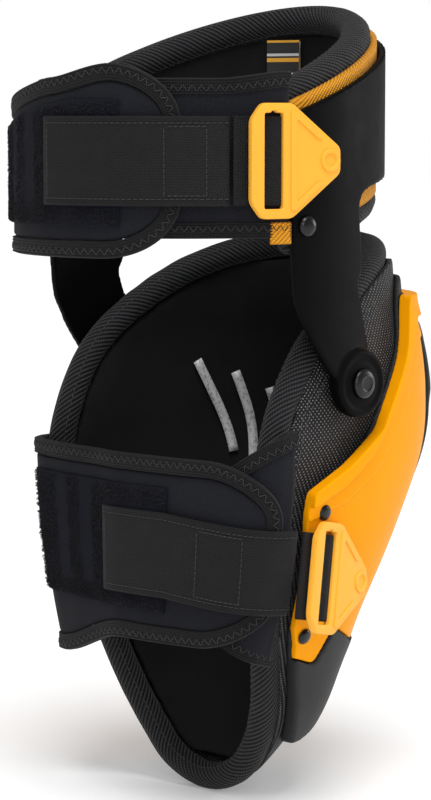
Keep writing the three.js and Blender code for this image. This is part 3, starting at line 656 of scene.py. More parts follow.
def grained_rubber(name, colour, roughness, grain, depth):
    """Moulded rubber with a fine leather-like grain and rubbed patches."""
    shader = Shader(name, colour, roughness, 0.3)
    place = shader.place()
    rubbed = shader.noise(place, 25, 4)
    shader.paint(rubbed, tinted(colour, 0.82), tinted(colour, 1.2))
    shader.rough(shader.between(rubbed, 0.3, 0.7, roughness - 0.06, roughness + 0.08))
    return shader.bump(shader.cells(place, grain), depth, 0.7)


def moulded_plastic(name, colour, roughness, shine, grain=700, depth=0.03, coat=0.0, spread=0.06):
    """Injection moulded plastic: even colour with a faint cloud, fine orange peel and rubbed gloss."""
    shader = Shader(name, colour, roughness, shine, Coat_Weight=coat, Coat_Roughness=0.16)
    place = shader.place()
    shader.paint(shader.noise(place, 18), tinted(colour, 1 - spread), tinted(colour, 1 + spread))
    scuff = shader.noise(place, 120, 5, 0.7)
    shader.rough(shader.between(scuff, 0.3, 0.75, roughness - 0.05, roughness + 0.09))
    return shader.bump(shader.noise(place, grain, 2), depth, 0.6)


def neoprene():
    """Knit-faced neoprene: fine ribs of the knit and a heathered blue-black."""
    shader = Shader("neoprene", (0.010, 0.0105, 0.014), 0.88, 0.15, 0.03, 0.45)
    u, v = shader.uv_parts()
    knit = shader.times(shader.wave(u, 0.8), shader.wave(v, 0.65))
    heather = shader.noise(shader.uv(), 0.9, 4)
    shader.paint(heather, (0.005, 0.005, 0.007), (0.015, 0.016, 0.022))
    return shader.bump(shader.add(knit, shader.times(heather, 0.7)), 0.16, 0.7)


def loop_cloth():
    """Ground cloth under the loop pile, in blue-black with worn patches."""
    shader = Shader("loop_cloth", (0.008, 0.009, 0.013), 0.95, 0.1, 0.03, 0.5)
    place = shader.uv()
    tuft = shader.noise(place, 1.6, 5, 0.75)
    worn = shader.blend(shader.noise(place, 0.12), (0.005, 0.005, 0.008), (0.014, 0.017, 0.034))
    shader.paint(tuft, (0.002, 0.002, 0.003), worn)
    return shader.bump(tuft, 0.9, 1.0)


def loop_thread():
    """Thread of the raised pile loops."""
    shader = Shader("loop_thread", (0.008, 0.008, 0.010), 0.8, 0.15, 0.04)
    shader.paint(shader.noise(shader.place(), 90), (0.004, 0.004, 0.005), (0.016, 0.016, 0.021))
    return shader.material


def webbing():
    """Woven elastic: warp ribs along the strap crossed by a fine diagonal."""
    shader = Shader("webbing", (0.008, 0.008, 0.009), 0.66, 0.2, 0.02)
    u, v = shader.uv_parts()
    weft = shader.wave(shader.add(u, shader.times(v, 0.9)), 1.25)
    height = shader.add(shader.times(shader.wave(v, 1.1), 0.3), shader.times(weft, 0.8))
    thread = shader.blend(shader.noise(shader.uv(), 0.15), (0.009, 0.009, 0.010), (0.020, 0.020, 0.0215))
    shader.paint(shader.between(height, 0.35, 0.95), (0.0015, 0.0015, 0.002), thread)
    return shader.bump(height, 0.3, 0.9)


def ribbed_trim():
    """Elastic edge tape; its ridges are in the mesh, with a fine crosswise weave on them."""
    shader = Shader("ribbed_trim", (0.007, 0.007, 0.008), 0.75, 0.2, 0.05)
    weave = shader.wave(shader.uv_parts()[0], 0.9)
    thread = shader.blend(shader.noise(shader.uv(), 0.4), (0.006, 0.006, 0.007), (0.015, 0.015, 0.017))
    shader.paint(weave, (0.0025, 0.0025, 0.003), thread)
    return shader.bump(weave, 0.2, 0.8)


def sewing_thread(name, colour):
    """Twisted bonded thread."""
    shader = Shader(name, colour, 0.5)
    twist = shader.wave(shader.add(*shader.uv_parts()), 0.45)
    shader.paint(twist, tinted(colour, 0.6), tinted(colour, 1.5))
    return shader.bump(twist, 0.1, 0.8)


def silver_print():
    """Screen-printed silver-grey ink with small gaps where it is worn."""
    shader = Shader("silver_print", (0.5, 0.5, 0.5), 0.45)
    worn = shader.noise(shader.place(), 700)
    shader.paint(shader.between(worn, 0.35, 0.5), (0.26, 0.26, 0.265), (0.55, 0.55, 0.56))
    return shader.bump(worn, 0.05, 0.5)


def striped_label():
    """Woven label with plain yellow and white stripes, 9 mm apart."""
    shader = Shader("striped_label", (0.02, 0.02, 0.02), 0.7)
    u, v = shader.uv_parts()
    weave = shader.wave(u, 0.5)
    white, yellow = (shader.math("GREATER_THAN", shader.wave(shader.add(v, shift), 9.0), level)
                     for shift, level in ((1.0, 0.955), (3.4, 0.90)))
    ground = shader.blend(weave, (0.012, 0.012, 0.013), (0.024, 0.024, 0.025))
    shader.paint(white, shader.blend(yellow, ground, (0.75, 0.36, 0.03)), (0.55, 0.55, 0.55))
    return shader.bump(weave, 0.08, 0.6)


def gel():
    """Soft blue gel."""
    shader = Shader("gel", (0.08, 0.21, 0.43), 0.2, Transmission_Weight=0.35)
    shader.paint(shader.noise(shader.place(), 90), (0.06, 0.17, 0.36), (0.10, 0.26, 0.50))
    return shader.material


KNIT = smooth_knit()
# Each mesh's second colour is painted shade in its pits, over the dark inside of the holes.
TWILL = twill_mesh("twill_mesh", (0.042, 0.043, 0.046), (0.0015, 0.0015, 0.002), 2.6)
YELLOW_MESH = twill_mesh("yellow_mesh", (1.0, 0.43, 0.016), (0.50, 0.17, 0.006), 2.3)
WOVEN = woven_nylon()
BASE_RUBBER = grained_rubber("base_rubber", (0.013, 0.013, 0.0145), 0.6, 900, 0.10)
CAP_RUBBER = grained_rubber("cap_rubber", (0.005, 0.005, 0.0055), 0.5, 700, 0.08)
YELLOW = moulded_plastic("yellow_shell", (0.90, 0.34, 0.001), 0.40, 0.04)
BUCKLE_YELLOW = moulded_plastic("yellow_buckle", (0.93, 0.43, 0.040), 0.4, 0.2)
BLACK_NYLON = moulded_plastic("black_nylon", (0.0025, 0.0025, 0.003), 0.45, 0.04, 1400, 0.05, spread=0.2)
GLOSS_BLACK = moulded_plastic("black_rivet", (0.004, 0.004, 0.0045), 0.26, 0.3, coat=0.08, spread=0.2)
NEOPRENE = neoprene()
LOOP_CLOTH = loop_cloth()
LOOP_THREAD = loop_thread()
WEBBING = webbing()
TRIM = ribbed_trim()
THREAD = sewing_thread("thread", (0.040, 0.040, 0.043))
DARK_THREAD = sewing_thread("dark_thread", (0.016, 0.016, 0.018))
PRINT = silver_print()
LABEL = striped_label()
GEL = gel()


# ---------------------------------------------------------------- knee cup, soft parts
CUP_STEPS = np.linspace(-1, 1, 91)
ROLL_SIDES = 28
ROLL_TURN = np.linspace(0, 2 * math.pi, ROLL_SIDES, endpoint=False)
RIM_STEP = 1.6


def cup_slab(name, layer, material, low=10.0, high=246.0, clear=4.5, rows=90):
    """Closed layer of the cup's wall, whose edge keeps clear of the rim line."""
    inner, outer = layer
    rings = []
    for z in low + (high - low) * (1 - np.cos(np.linspace(0, math.pi, rows))) / 2:
        across = CUP_STEPS * cup_limit(z, clear)
        rings.append(np.vstack([cup(across, z, outer), cup(across, z, inner)[::-1]]))
    return loft(name, rings, material, middle=len(CUP_STEPS) // 2)


def knee_lining():
    """Soft inner pad of the cup, swollen by simulation."""
    pad = cup_slab("knee_lining", LINING_LAYER, KNIT, 12, 244, 6.5, 70)
    inflated(pad, 2.2, 1.2, 1.1, 12)
    finish_piece(pad, "knee", "smooth_knit", "knee_inner_lining", "knee_foam_core")


def knee_cover():
    cover = cup_slab("knee_cover", COVER_LAYER, WOVEN)
    finish_piece(cover, "knee", "woven_nylon", "knee_outer_cover")


def roll(name, seam_name, path, outward, radius, pucker, seams, body, node, closed=False, taper=None):
    """Rolled edge of spacer mesh with small puckers, and a row of stitches at two angles round it."""
    rings = sweep_rings(path, outward, circle(radius, ROLL_SIDES), closed, taper)
    rings = path[:, None] + (rings - path[:, None]) * pucker[..., None]
    finish_piece(loft(name, rings, TWILL, closed), body, "mesh_binding", node)
    across, out = frames(path, outward, closed)
    kept = np.r_[0:len(path), 0] if closed else np.arange(8, len(path) - 8)
    for row, angle in zip(("inner", "outer"), np.radians(seams)):
        direction = across * math.cos(angle) + out * math.sin(angle)
        seam = stitches(f"{seam_name}_{row}", (path + direction * radius)[kept], direction[kept],
                        DARK_THREAD, 3.4, 2.5, 0.3)
        finish_piece(seam, body, "mesh_binding")


def knee_binding():
    """Roll round the cup's rim."""
    path = resample(RIM_LOOP, RIM_STEP)
    centre = np.column_stack([np.zeros(len(path)), np.full(len(path), -30.0), np.clip(path[:, 2], 60, 200)])
    run = np.arange(len(path))[:, None] * RIM_STEP
    pucker = (1 + 0.022 * np.sin(run / 3.1 + 2 * np.sin(run / 17)) * np.cos(ROLL_TURN)
              - 0.03 * np.exp(-(np.sin(ROLL_TURN + 0.9) / 0.12) ** 2))
    roll("knee_rim_binding", "knee_rim_stitch", path, unit(path - centre), RIM_TUBE, pucker, (200, -20),
         "knee", "knee_edge_binding", closed=True)


def lining_print():
    """Three plain slanted bars printed on the lining, as (start, end) across and (low, high) in height."""
    section = [(-2.3, 0.1), (2.3, 0.1), (2.3, -0.5), (-2.3, -0.5)]
    bars = []
    for start, end, low, high in ((0.26, 0.36, 146, 178), (0.36, 0.52, 138, 186), (0.48, 0.68, 146, 192)):
        z = np.linspace(low, high, 16)
        across = np.interp(z, (low, high), (start, end))
        bars.append(sweep_rings(cup(across, z, -7.0), -cup_normal(across, z), section))
    finish_piece(face_out(join_meshes("lining_print", bars, PRINT)), "knee", "smooth_knit")


def cover_seams():
    """Twin needle rows of light thread on the woven side panels, beside the rim binding."""
    z = np.linspace(88, 226, 70)
    for name, side in SIDES:
        for row, clear in (("outer", 9.5), ("inner", 12.5)):
            across = smoothed(np.array([cup_limit(height, clear) for height in z]) * side)
            seam = stitches(f"cover_seam_{row}_{name}", cup(across, z, 5.8), cup_normal(across, z), THREAD,
                            3.0, 2.1, 0.3)
            finish_piece(seam, "knee", "woven_nylon")


# ---------------------------------------------------------------- knee cup, moulded parts
# Side outlines as (y, z); they run past the front, where they meet on the other side.
FRAME_UPPER = [(-150, 228), (-68, 228), (-57, 200), (-38, 170), (-16, 157), (9, 146)]
FRAME_SIDE = FRAME_UPPER + [
    (10, 136), (8, 110), (7.5, 72), (-11, 66), (-21, 82), (-44, 72), (-150, 72),
]
LIP_SIDE = FRAME_UPPER + [
    (9.6, 139), (-13, 148), (-32, 160), (-48, 178), (-65, 203), (-76, 218), (-150, 218),
]
FACET_SIDE = FRAME_UPPER + [
    (9.8, 133), (-16, 140), (-37, 151), (-55, 170), (-72, 196), (-84, 208), (-150, 208),
]
FOOT_LOWER = [(-16, 27), (-30, 31), (-46, 40), (-150, 46)]
BASE_SIDE = [
    (-150, 236), (-70, 236), (-61, 205), (-42, 175), (-21, 152), (3, 140), (4, 110), (6, 77), (5, 27),
] + FOOT_LOWER
FOOT_SIDE = [(7.5, 90), (6.5, 27)] + FOOT_LOWER + [(-150, 90)]
WINDOW = [(30, 229), (43, 208), (47, 172), (41, 132), (32, 98), (22, 84)]      # half width, z
WINDOW_TOP, WINDOW_BOTTOM = WINDOW[0][1], WINDOW[-1][1]
RIVET_SPOTS = [("upper", 0, 138), ("lower", 1, 84)]
RIVET_PROFILE = [
    (0, 6.2), (2.2, 6.2), (2.2, 12.9), (3.7, 12.9), (3.55, 13.7), (2.7, 14.5), (1.3, 14.8), (0, 14.9),
]


def window_outline(inset):
    right = [(x - inset, z - inset if z == WINDOW_TOP else max(z, WINDOW_BOTTOM + inset)) for x, z in WINDOW]
    return fillet(right + [(-x, z) for x, z in right[::-1]], 7)


def shell_layer(name, layer, outline, radius, material):
    slab = cup_slab(name, layer, material, 12, 241, 7.0, 80)
    return cut(slab, prism(fillet(outline, radius), "x"), "INTERSECT")


def knee_base():
    """Dark rubber carrier under the frame, with its thick rounded foot."""
    carrier = shell_layer("knee_base", BASE_LAYER, BASE_SIDE, 8, BASE_RUBBER)
    foot = shell_layer("foot", FOOT_LAYER, FOOT_SIDE, 6, BASE_RUBBER)
    cut(foot, prism(fillet([(y, z - 0.8) for y, z in FRAME_SIDE], 4), "x"), "DIFFERENCE")
    moulded(merge(carrier, [foot]), 1.0, 6)
    finish_piece(carrier, "knee", "base_rubber", "knee_base_shell")


def knee_frame():
    """Yellow frame: side wings, a raised band along its upper edge and the window for the cap."""
    body = shell_layer("knee_frame", FRAME_LAYER, FRAME_SIDE, 3, YELLOW)
    merge(body, [shell_layer("lip", LIP_LAYER, LIP_SIDE, 2, YELLOW),
                 shell_layer("facet", FACET_LAYER, FACET_SIDE, 2, YELLOW)])
    cut(body, prism(window_outline(0), "y"), "DIFFERENCE")
    moulded(body, 0.5, 2)
    finish_piece(body, "knee", "yellow_shell", "knee_frame_shell")


def window_across(z, inset):
    """Place across the cup, from 0 to 1, that lies the inset inside the window's side at a height."""
    half, heights = np.array(WINDOW[::-1]).T
    tries = np.linspace(0.0, 0.8, 200)
    return float(np.interp(np.interp(z, heights, half) - inset, cup(tries, z, 14.0)[:, 0], tries))


def knee_cap():
    """Black front cap with shallow ribs."""
    cap = cup_slab("knee_cap", CAP_LAYER, CAP_RUBBER, 60, 240, 7.0, 80)
    cut(cap, prism(window_outline(0.6), "y"), "INTERSECT")
    ribs = []
    for z in range(118, 203, 14):
        span = window_across(z, 7.5)
        across = np.linspace(-span, span, 40)
        height = z + 8 * (1 - np.abs(across) / span)
        ribs.append(sweep_rings(cup(across, height, 14.0), cup_normal(across, height), circle(1.5, 10, 0.7)))
    merge(cap, [face_out(join_meshes("ribs", ribs, CAP_RUBBER))])
    moulded(cap, 1.0, 4)
    finish_piece(cap, "knee", "cap_rubber", "knee_front_cap")


def cap_edges():
    """Beads that frame the cap just inside the window's sides, and a plain striped badge on each."""
    bead_section = [(-3.0, -1.5), (3.0, -1.5), (2.8, 0.6), (1.9, 1.7), (-1.9, 1.7), (-2.8, 0.6)]
    ink_section = [(-2.2, 0.8), (2.2, 0.8), (2.0, 2.35), (-2.0, 2.35)]
    z = np.linspace(93, 220, 90)
    taper = 0.75 + 0.55 * smoothstep(z, 172, 182) * smoothstep(-z, -214, -204)
    beads = []
    for name, side in SIDES:
        across = side * smoothed(np.array([window_across(height, 3.4) for height in z]))
        path = cup(across, z, 14.2)
        outward = cup_normal(across, z)
        beads.append(sweep_rings(path, outward, bead_section, taper=taper))
        picks = [(z >= low) & (z <= low + 3.4) for low in range(180, 206, 5)]
        stripes = [sweep_rings(path[pick], outward[pick], ink_section) for pick in picks]
        finish_piece(face_out(join_meshes(f"cap_stripes_{name}", stripes, PRINT)), "knee", "cap_rubber")
    finish_piece(face_out(join_meshes("cap_edge", beads, CAP_RUBBER)), "knee", "cap_rubber")


def frame_rivets():
    """Domed rivets that hold the frame to the base."""
    tries = np.linspace(0.3, 1, 400)
    for side_name, side in SIDES:
        for level, y, z in RIVET_SPOTS:
            points = cup_middle(tries, np.full(400, float(z)))
            across = side * tries[np.argmin(np.abs(points[:, 1] - y))]
            turned(f"rivet_{level}_{side_name}", cup_middle(across, z), cup_normal(across, z), RIVET_PROFILE,
                   0.3, GLOSS_BLACK, 28, "knee", "black_rivet", f"frame_rivet_{level}_{side_name}")


# ---------------------------------------------------------------- pivots
PIVOT_PROFILE = [
    (0, 61.8), (6.1, 61.8), (6.1, 62.5), (3.9, 62.6), (3.9, 81.9), (6.6, 81.9), (6.5, 82.8), (5.4, 83.7),
    (3.4, 84.1), (3.0, 83.8), (0, 83.8),
]
ARM_RIVET = (13.5, 262.0)                   # y, z
ARM_RIVET_PROFILE = [
    (0, -3.4), (2.0, -3.4), (2.0, 0.1), (4.6, 0.1), (4.4, 1.1), (3.4, 2.0), (1.8, 2.5), (0, 2.6),
]


def pivots():
    for name, side in SIDES:
        turned(f"pivot_stud_{name}", PIVOT, (side, 0, 0), PIVOT_PROFILE, 0.4, GLOSS_BLACK, 40,
               "knee", "black_rivet", f"pivot_rivet_{name}")


def arm_rivets():
    """Domed rivets at the back corners of the arms."""
    y, z = ARM_RIVET
    angle = 180 - math.degrees(math.acos(y / OVAL[1]))
    for name, side in SIDES:
        spot = oval(-side * angle, z, 0.0)
        turned(f"arm_stud_{name}", spot, oval(-side * angle, z, 1.0) - spot, ARM_RIVET_PROFILE, 0.3,
               GLOSS_BLACK, 36, "thigh", "black_rivet", f"arm_rivet_{name}")


# ---------------------------------------------------------------- thigh shell
DISC_RADIUS = 15.0
DISC_ROOM = [(0, 60), (15.3, 60), (15.3, 75.2), (0, 75.2)]
DISC_PROFILE = [
    (5.2, 75.0), (15.0, 75.0), (15.0, 80.6), (14.2, 81.5), (12.2, 81.5), (11.8, 81.0), (9.4, 81.0),
    (9.0, 81.4), (5.2, 81.4), (5.2, 75.0),
]
SHELL_BACK = [(-95, 350), (20.5, 310), (20.5, 254), (18.5, 231), (17, 225), (8, 210), (-2, 197)]
SHELL_FRONT = [(-21, 236), (-25, 241), (-22, 273), (-30, 277.5), (-95, 286.4)]
SEAT_PROFILE = [(0, -3.0), (9.0, -3.0), (9.0, -0.9), (8.2, -0.4), (6.4, -0.4), (6.0, -0.7), (0, -0.7)]


def oval_slab(name, angles, low, high, inner, outer, material, rows, smooth=True):
    """Closed layer of the cuff between two heights that are functions of the angle."""
    rings = []
    for angle in angles:
        z = np.linspace(low(angle), high(angle), rows)
        rings.append(np.vstack([oval(angle, z, outer), oval(angle, z[::-1], inner)]))
    return loft(name, rings, material, smooth=smooth)


def thigh_shell():
    """Shell and both arms in one moulding, with the pivot discs and their raised rings."""
    shell = oval_slab("thigh_shell", np.linspace(-150, 150, 241), lambda a: 170, lambda a: 360, -3.3, 0.0,
                      BLACK_NYLON, 2)
    disc = [(PIVOT_FROM_LEG + DISC_RADIUS * math.cos(t), PIVOT_Z + DISC_RADIUS * math.sin(t))
            for t in np.radians(np.arange(10, -191, -8))]
    corners = len(SHELL_BACK)
    outline = fillet(SHELL_BACK + disc + SHELL_FRONT, 7, sharp=range(corners, corners + len(disc)))
    cut(shell, prism(outline, "x"), "INTERSECT")
    discs = []
    for name, side in SIDES:
        cut(shell, lathe("disc_room", PIVOT, (side, 0, 0), DISC_ROOM, None, 48), "DIFFERENCE")
        profile = rounded_profile(DISC_PROFILE, 0.3)
        discs.append(lathe(f"disc_{name}", PIVOT, (side, 0, 0), profile, BLACK_NYLON, 64))
    merge(shell, discs)
    moulded(shell, 0.85, 3)
    finish_piece(shell, "thigh", "black_nylon", "thigh_frame")


def shell_badge():
    """Plain raised panel with rounded ends on the front of the shell."""
    def corner(angle):
        return 5 * (1 - rounded_end(abs(angle), 33.0, 3.5))

    panel = band("shell_badge", oval, np.linspace(-33, 33, 91), lambda a: 304 + corner(a),
                 lambda a: 332 - corner(a), -0.4, 1.3, BLACK_NYLON, 12)
    finish_piece(panel, "thigh", "black_nylon")


# ---------------------------------------------------------------- thigh pads and rolls
def roll_height(angle):
    return 323 + 30 * np.cos(np.radians(angle))


def lower_roll_height(angle):
    return 258 + 19 * np.cos(np.radians(angle))


def mesh_low(angle):
    """Lower edge of the yellow mesh: above the roll, and under the straps at its two ends."""
    return lower_roll_height(angle) + 4.5 + 8.0 * float(smoothstep(abs(angle), 96, 108))


def thigh_pad():
    """Inner pad of the cuff, swollen by simulation, and the yellow mesh behind it."""
    pad = oval_slab("thigh_pad", np.linspace(-112, 112, 110), lambda a: lower_roll_height(a) + 3.5,
                    lambda a: roll_height(a) - 5.0, -15.6, -7.2, KNIT, 14)
    inflated(pad, 3.0, 1.6, 2.0, 14)
    finish_piece(pad, "thigh", "smooth_knit", "thigh_pad_lining", "thigh_pad_foam")
    mesh = oval_slab("thigh_mesh", np.linspace(-113, 113, 110), mesh_low, lambda a: roll_height(a) - 1.0,
                     -6.6, -3.9, YELLOW_MESH, 20)
    finish_piece(mesh, "thigh", "yellow_mesh", "thigh_pad_cover")


def oval_roll(name, distance, radius, height, half_angle, node):
    """Roll along an edge of the cuff, whose ends taper to a round tip."""
    angles = np.linspace(-half_angle, half_angle, 260)
    path = oval(angles, height(angles), distance)
    outward = oval(angles, height(angles), distance + 1) - path
    from_end = np.minimum(np.arange(260), np.arange(260)[::-1])
    taper = np.sqrt(1 - (1 - np.clip(from_end / 6 + 0.08, 0, 1)) ** 2)
    run = lengths(path)[:, None]
    pucker = 1 + 0.025 * np.sin(run / 2.7 + 2 * np.sin(run / 19)) * np.sin(ROLL_TURN)
    roll(name, f"{name}_stitch", path, outward, radius, pucker, (215, -35), "thigh", node, taper=taper)


def thigh_label():
    """Woven label with plain stripes, sewn to the lining under the top roll."""
    label = oval_slab("thigh_label", np.linspace(-19, -3, 12), lambda a: 327, lambda a: 344, -17.2, -18.4,
                      LABEL, 8, smooth=False)
    finish_piece(label, "thigh", "smooth_knit")


# ---------------------------------------------------------------- straps, shared parts
BODY_OF = {"thigh": "thigh", "calf": "knee"}
TAPE_WIDTH, TAPE_BEYOND, TAPE_RIDGES = 6.5, 0.8, 5
PILE_SECTION = np.array([(0.16, 0), (0, 0.16), (-0.16, 0), (0, -0.16)])


def ribbed_section(thickness):
    """Section of the elastic edge tape round a strap's edge: (across, outward), ridges on its outer face."""
    across = np.linspace(-TAPE_WIDTH + 0.6, TAPE_BEYOND - 0.6, 6 * TAPE_RIDGES + 1)
    ridge = 0.22 * np.cos((across - across[0]) / (across[-1] - across[0]) * 2 * math.pi * TAPE_RIDGES)
    outer = np.stack([across, thickness / 2 + 0.75 + ridge], 1)
    end = np.array([(TAPE_BEYOND, thickness / 4), (TAPE_BEYOND, -thickness / 4)])
    inner = np.stack([across[::-1][::3], np.full(len(across[::3]), -thickness / 2 - 0.6)], 1)
    start = np.array([(-TAPE_WIDTH, -thickness / 4 - 0.2), (-TAPE_WIDTH, thickness / 4 + 0.2)])
    return np.vstack([outer, end, inner, start])


def edge_tape(name, surface, places, heights, middle, thickness, body):
    """Edge tape along the line (places, heights) of a strap surface, with a zig-zag row on it."""
    run = lengths(surface(places, heights, middle))
    wanted = np.linspace(0, run[-1], max(8, int(run[-1] / 1.8)))
    line = sampled(wanted, run, np.column_stack([places, heights])).T
    path = surface(*line, middle)
    outward = unit(surface(*line, middle + 1) - path)
    tape = loft(name, sweep_rings(path, outward, ribbed_section(thickness)), TRIM)
    finish_piece(tape, body, "neoprene")
    across, out = frames(path, outward, False)
    zigzag = stitches(f"{name}_zigzag", path - across * 3.6 + out * (thickness / 2 + 0.95), out, DARK_THREAD,
                      2.0, 1.8, 0.24, 2.6)
    finish_piece(zigzag, body, "neoprene")


def near_leaf(part, surface, places, low, high, inner, outer, tape, wave):
    """Leaf of a strap that is sewn on at the near side, with a tape along each edge."""
    body, middle = BODY_OF[part], (inner + outer) / 2
    leaf = band(f"strap_{part}_near", surface, places, low, high, inner, outer, NEOPRENE, 24, wave=wave)
    finish_piece(leaf, body, "neoprene", f"{part}_strap_near")
    back = places[::-1]
    edge_tape(f"tape_{part}_near_top", surface, places, [high(s) + 0.2 for s in places], middle, tape, body)
    edge_tape(f"tape_{part}_near_low", surface, back, [low(s) - 0.2 for s in back], middle, tape, body)


def wrap_leaf(part, surface, tip, root, count, low, high, inner, outer, tape, wave):
    """Leaf with a rounded end, and its tape: along the top, round the tip and back along the bottom."""
    body = BODY_OF[part]
    places = tip + (root - tip) * np.linspace(0.003, 1, count) ** 1.3
    leaf = band(f"strap_{part}_wrap", surface, places, lambda s: low(s) + 1, lambda s: high(s) - 1,
                inner, outer, NEOPRENE, 24, wave=wave)
    finish_piece(leaf, body, "neoprene", f"{part}_strap_wrap")
    from_tip = tip + (root - tip) * np.linspace(0, 1, 60) ** 2
    edge = ([(s, high(s)) for s in from_tip[::-1]] + [(tip, (low(tip) + high(tip)) / 2)]
            + [(s, low(s)) for s in from_tip])
    edge_tape(f"tape_{part}_wrap", surface, *np.array(edge).T, (inner + outer) / 2, tape, body)


def pile(name, surface, area, ceiling, height, count, body, seed):
    """Raised loops of a loop-pile patch, as many short bent threads."""
    start, end, low, high = area
    spread = np.random.default_rng(seed)
    t = np.linspace(0, 1, 4)[:, None]
    parts = []
    for _ in range(count):
        s = spread.uniform(start, end)
        z = spread.uniform(low, min(high, ceiling(s)))
        base = surface(s, z, height)
        out = unit(surface(s, z, height + 1) - base)
        lean = unit(spread.normal(size=3))
        tall = spread.uniform(0.5, 1.5)
        path = base + out * (np.sin(t * math.pi) * tall - 0.25) + lean * (t - 0.5) * spread.uniform(1.0, 2.6)
        parts.append(sweep_rings(path, np.tile(out, (4, 1)), PILE_SECTION))
    finish_piece(join_meshes(name, parts, LOOP_THREAD), body, "loop_pile")


def loop_patch(part, surface, start, end, low, high, inner, outer, wave, pile_height, unit_mm, areas, seed):
    """Patch of loop cloth with raised pile on some areas, each as (start, end, low, high)."""
    body = BODY_OF[part]
    patch = band(f"loop_{part}", surface, np.linspace(start, end, 70), lambda s: low, high, inner, outer,
                 LOOP_CLOTH, 30, wave=wave)
    finish_piece(patch, body, "loop_pile", f"{part}_loop_patch")
    for number, area in enumerate(areas):
        count = int((area[1] - area[0]) * unit_mm * (area[3] - area[2]) * 1.1)
        pile(f"pile_{part}_{number}", surface, area, lambda s: high(s) - 1, pile_height, count, body,
             seed + number)


def elastic(part, surface, places, middle, inner, outer, box_at, hem_at):
    """Webbing with stitched hem, box stitch and rows of thread near both edges."""
    half = WEB_WIDTH / 2
    name, body = f"web_{part}", BODY_OF[part]

    def ribs(z, low, high):
        return -0.25 * np.exp(-((np.minimum(z - low, high - z) - 3.0) / 0.5) ** 2)

    def seam(kind, s, offsets, distance, *stitch):
        heights = np.array([middle(v) for v in s]) + offsets
        path = surface(s, heights, distance)
        out = surface(s, heights, distance + 1) - path
        finish_piece(stitches(f"{name}_{kind}", path, out, DARK_THREAD, *stitch), body, "elastic_webbing")

    web = band(name, surface, places, lambda s: middle(s) - half, lambda s: middle(s) + half, inner, outer,
               WEBBING, 40, relief=ribs)
    finish_piece(web, body, "elastic_webbing", f"{part}_elastic")
    seam("row_top", places, half - 3, outer, 2.6, 2.0, 0.22)
    seam("row_low", places, 3 - half, outer, 2.6, 2.0, 0.22)
    lines = [(s, s, 4 - half, half - 4) for s in (*box_at, hem_at)]
    lines += [(*box_at, edge, edge) for edge in (half - 4.5, 4.5 - half)]
    for number, (start, end, low, high) in enumerate(lines):
        seam(f"box_{number}", np.linspace(start, end, 30), np.linspace(low, high, 30), outer + 0.05,
             2.4, 1.9, 0.26)


# ---------------------------------------------------------------- thigh strap, placed by angle
STRAP_LOW, STRAP_HIGH = 255.0, 325.0
STRAP_MID = (STRAP_LOW + STRAP_HIGH) / 2
WRAP_TIP, WRAP_ROOT = 142.0, 255.6
ROOT_ANGLE = 104.5      # where the near strap disappears behind the shell's back edge
ROOT_RISE = 6.3
THIGH_PILES = (
    (184, 231, 263, 271), (184, 190, 263, 316), (196, 203, 263, 311), (208, 231, 263, 305),
    (157, 184, 310, 316), (157, 184, 263, 270),
)


def wrap_half(angle):
    return 35 * (0.45 + 0.55 * rounded_end(angle, WRAP_TIP, 20))


def wrap_high(angle):
    return STRAP_MID + wrap_half(angle) - 6 * float(smoothstep(angle, 158, 184)) - 0.27 * max(0, angle - 184)


def wrap_oval(angle, z, distance):
    """Line of the wrap, which rises over the mesh where it is sewn on at the far side."""
    return oval(angle, z, distance + 2.6 * smoothstep(angle, 236, 247))


def near_oval(angle, z, distance):
    """Line of the near strap: inside the wrap at the back, then out over the mesh to the shell's edge."""
    return oval(angle, z, distance + ROOT_RISE * smoothstep(124 - angle, 0, 13))


def thigh_straps():
    near_leaf("thigh", near_oval, np.linspace(ROOT_ANGLE, 194, 90), lambda a: STRAP_LOW + 3,
              lambda a: STRAP_HIGH - 1 + 3.0 * float(smoothstep(125 - a, 0, 20)), -10.2, -6.8, 3.2, 0.25)
    mesh_end = band("mesh_tab", oval, np.linspace(104.2, 111, 16), lambda a: 254.5, lambda a: 264.0, -1.0, 0.4,
                    YELLOW_MESH, 12)
    finish_piece(mesh_end, "thigh", "yellow_mesh")
    wrap_leaf("thigh", wrap_oval, WRAP_TIP, WRAP_ROOT, 110, lambda a: STRAP_MID - wrap_half(a), wrap_high,
              -5.4, -2.2, 3.0, 0.25)
    loop_patch("thigh", oval, 156, 232, 262.0, lambda a: min(316.0, wrap_high(a) - 5.0), -1.9, -0.5, 0.2,
               -0.6, 1, THIGH_PILES, 20)


# ---------------------------------------------------------------- calf strap, placed by s
CALF_TIP = -0.8
CALF_MIDDLE = 119
CALF_UNIT = 95                              # millimetres in one unit of s
CALF_PILES = (
    (0.14, 0.74, 92, 99), (0.14, 0.24, 92, 146), (0.34, 0.44, 92, 146), (0.54, 0.74, 92, 146),
    (-0.29, 0.14, 139, 146), (-0.29, 0.14, 92, 97),
)


def calf_half(s):
    return 35 * (0.45 + 0.55 * rounded_end(s, CALF_TIP, 0.3))


def near_rise(s):
    """How far the near leaf has widened, from 0 to 1 at its root."""
    return float(smoothstep(-s, 0.45, 0.95))


def calf_straps():
    near_leaf("calf", calf, np.linspace(-0.92, -0.05, 80), lambda s: 83 - 14 * near_rise(s),
              lambda s: 151 + 22 * near_rise(s), 0.2, 3.0, 2.8, 0.2)
    wrap_leaf("calf", calf, CALF_TIP, 1.0, 130,
              lambda s: CALF_MIDDLE - calf_half(s) - 14 * float(smoothstep(s, 0, 0.7)),
              lambda s: CALF_MIDDLE + calf_half(s), 4.2, 6.6, 2.8, 0.2)
    loop_patch("calf", calf, -0.3, 0.75, 91.0, lambda s: 147.0, 6.9, 8.0, 0.15, 7.9, CALF_UNIT, CALF_PILES, 40)


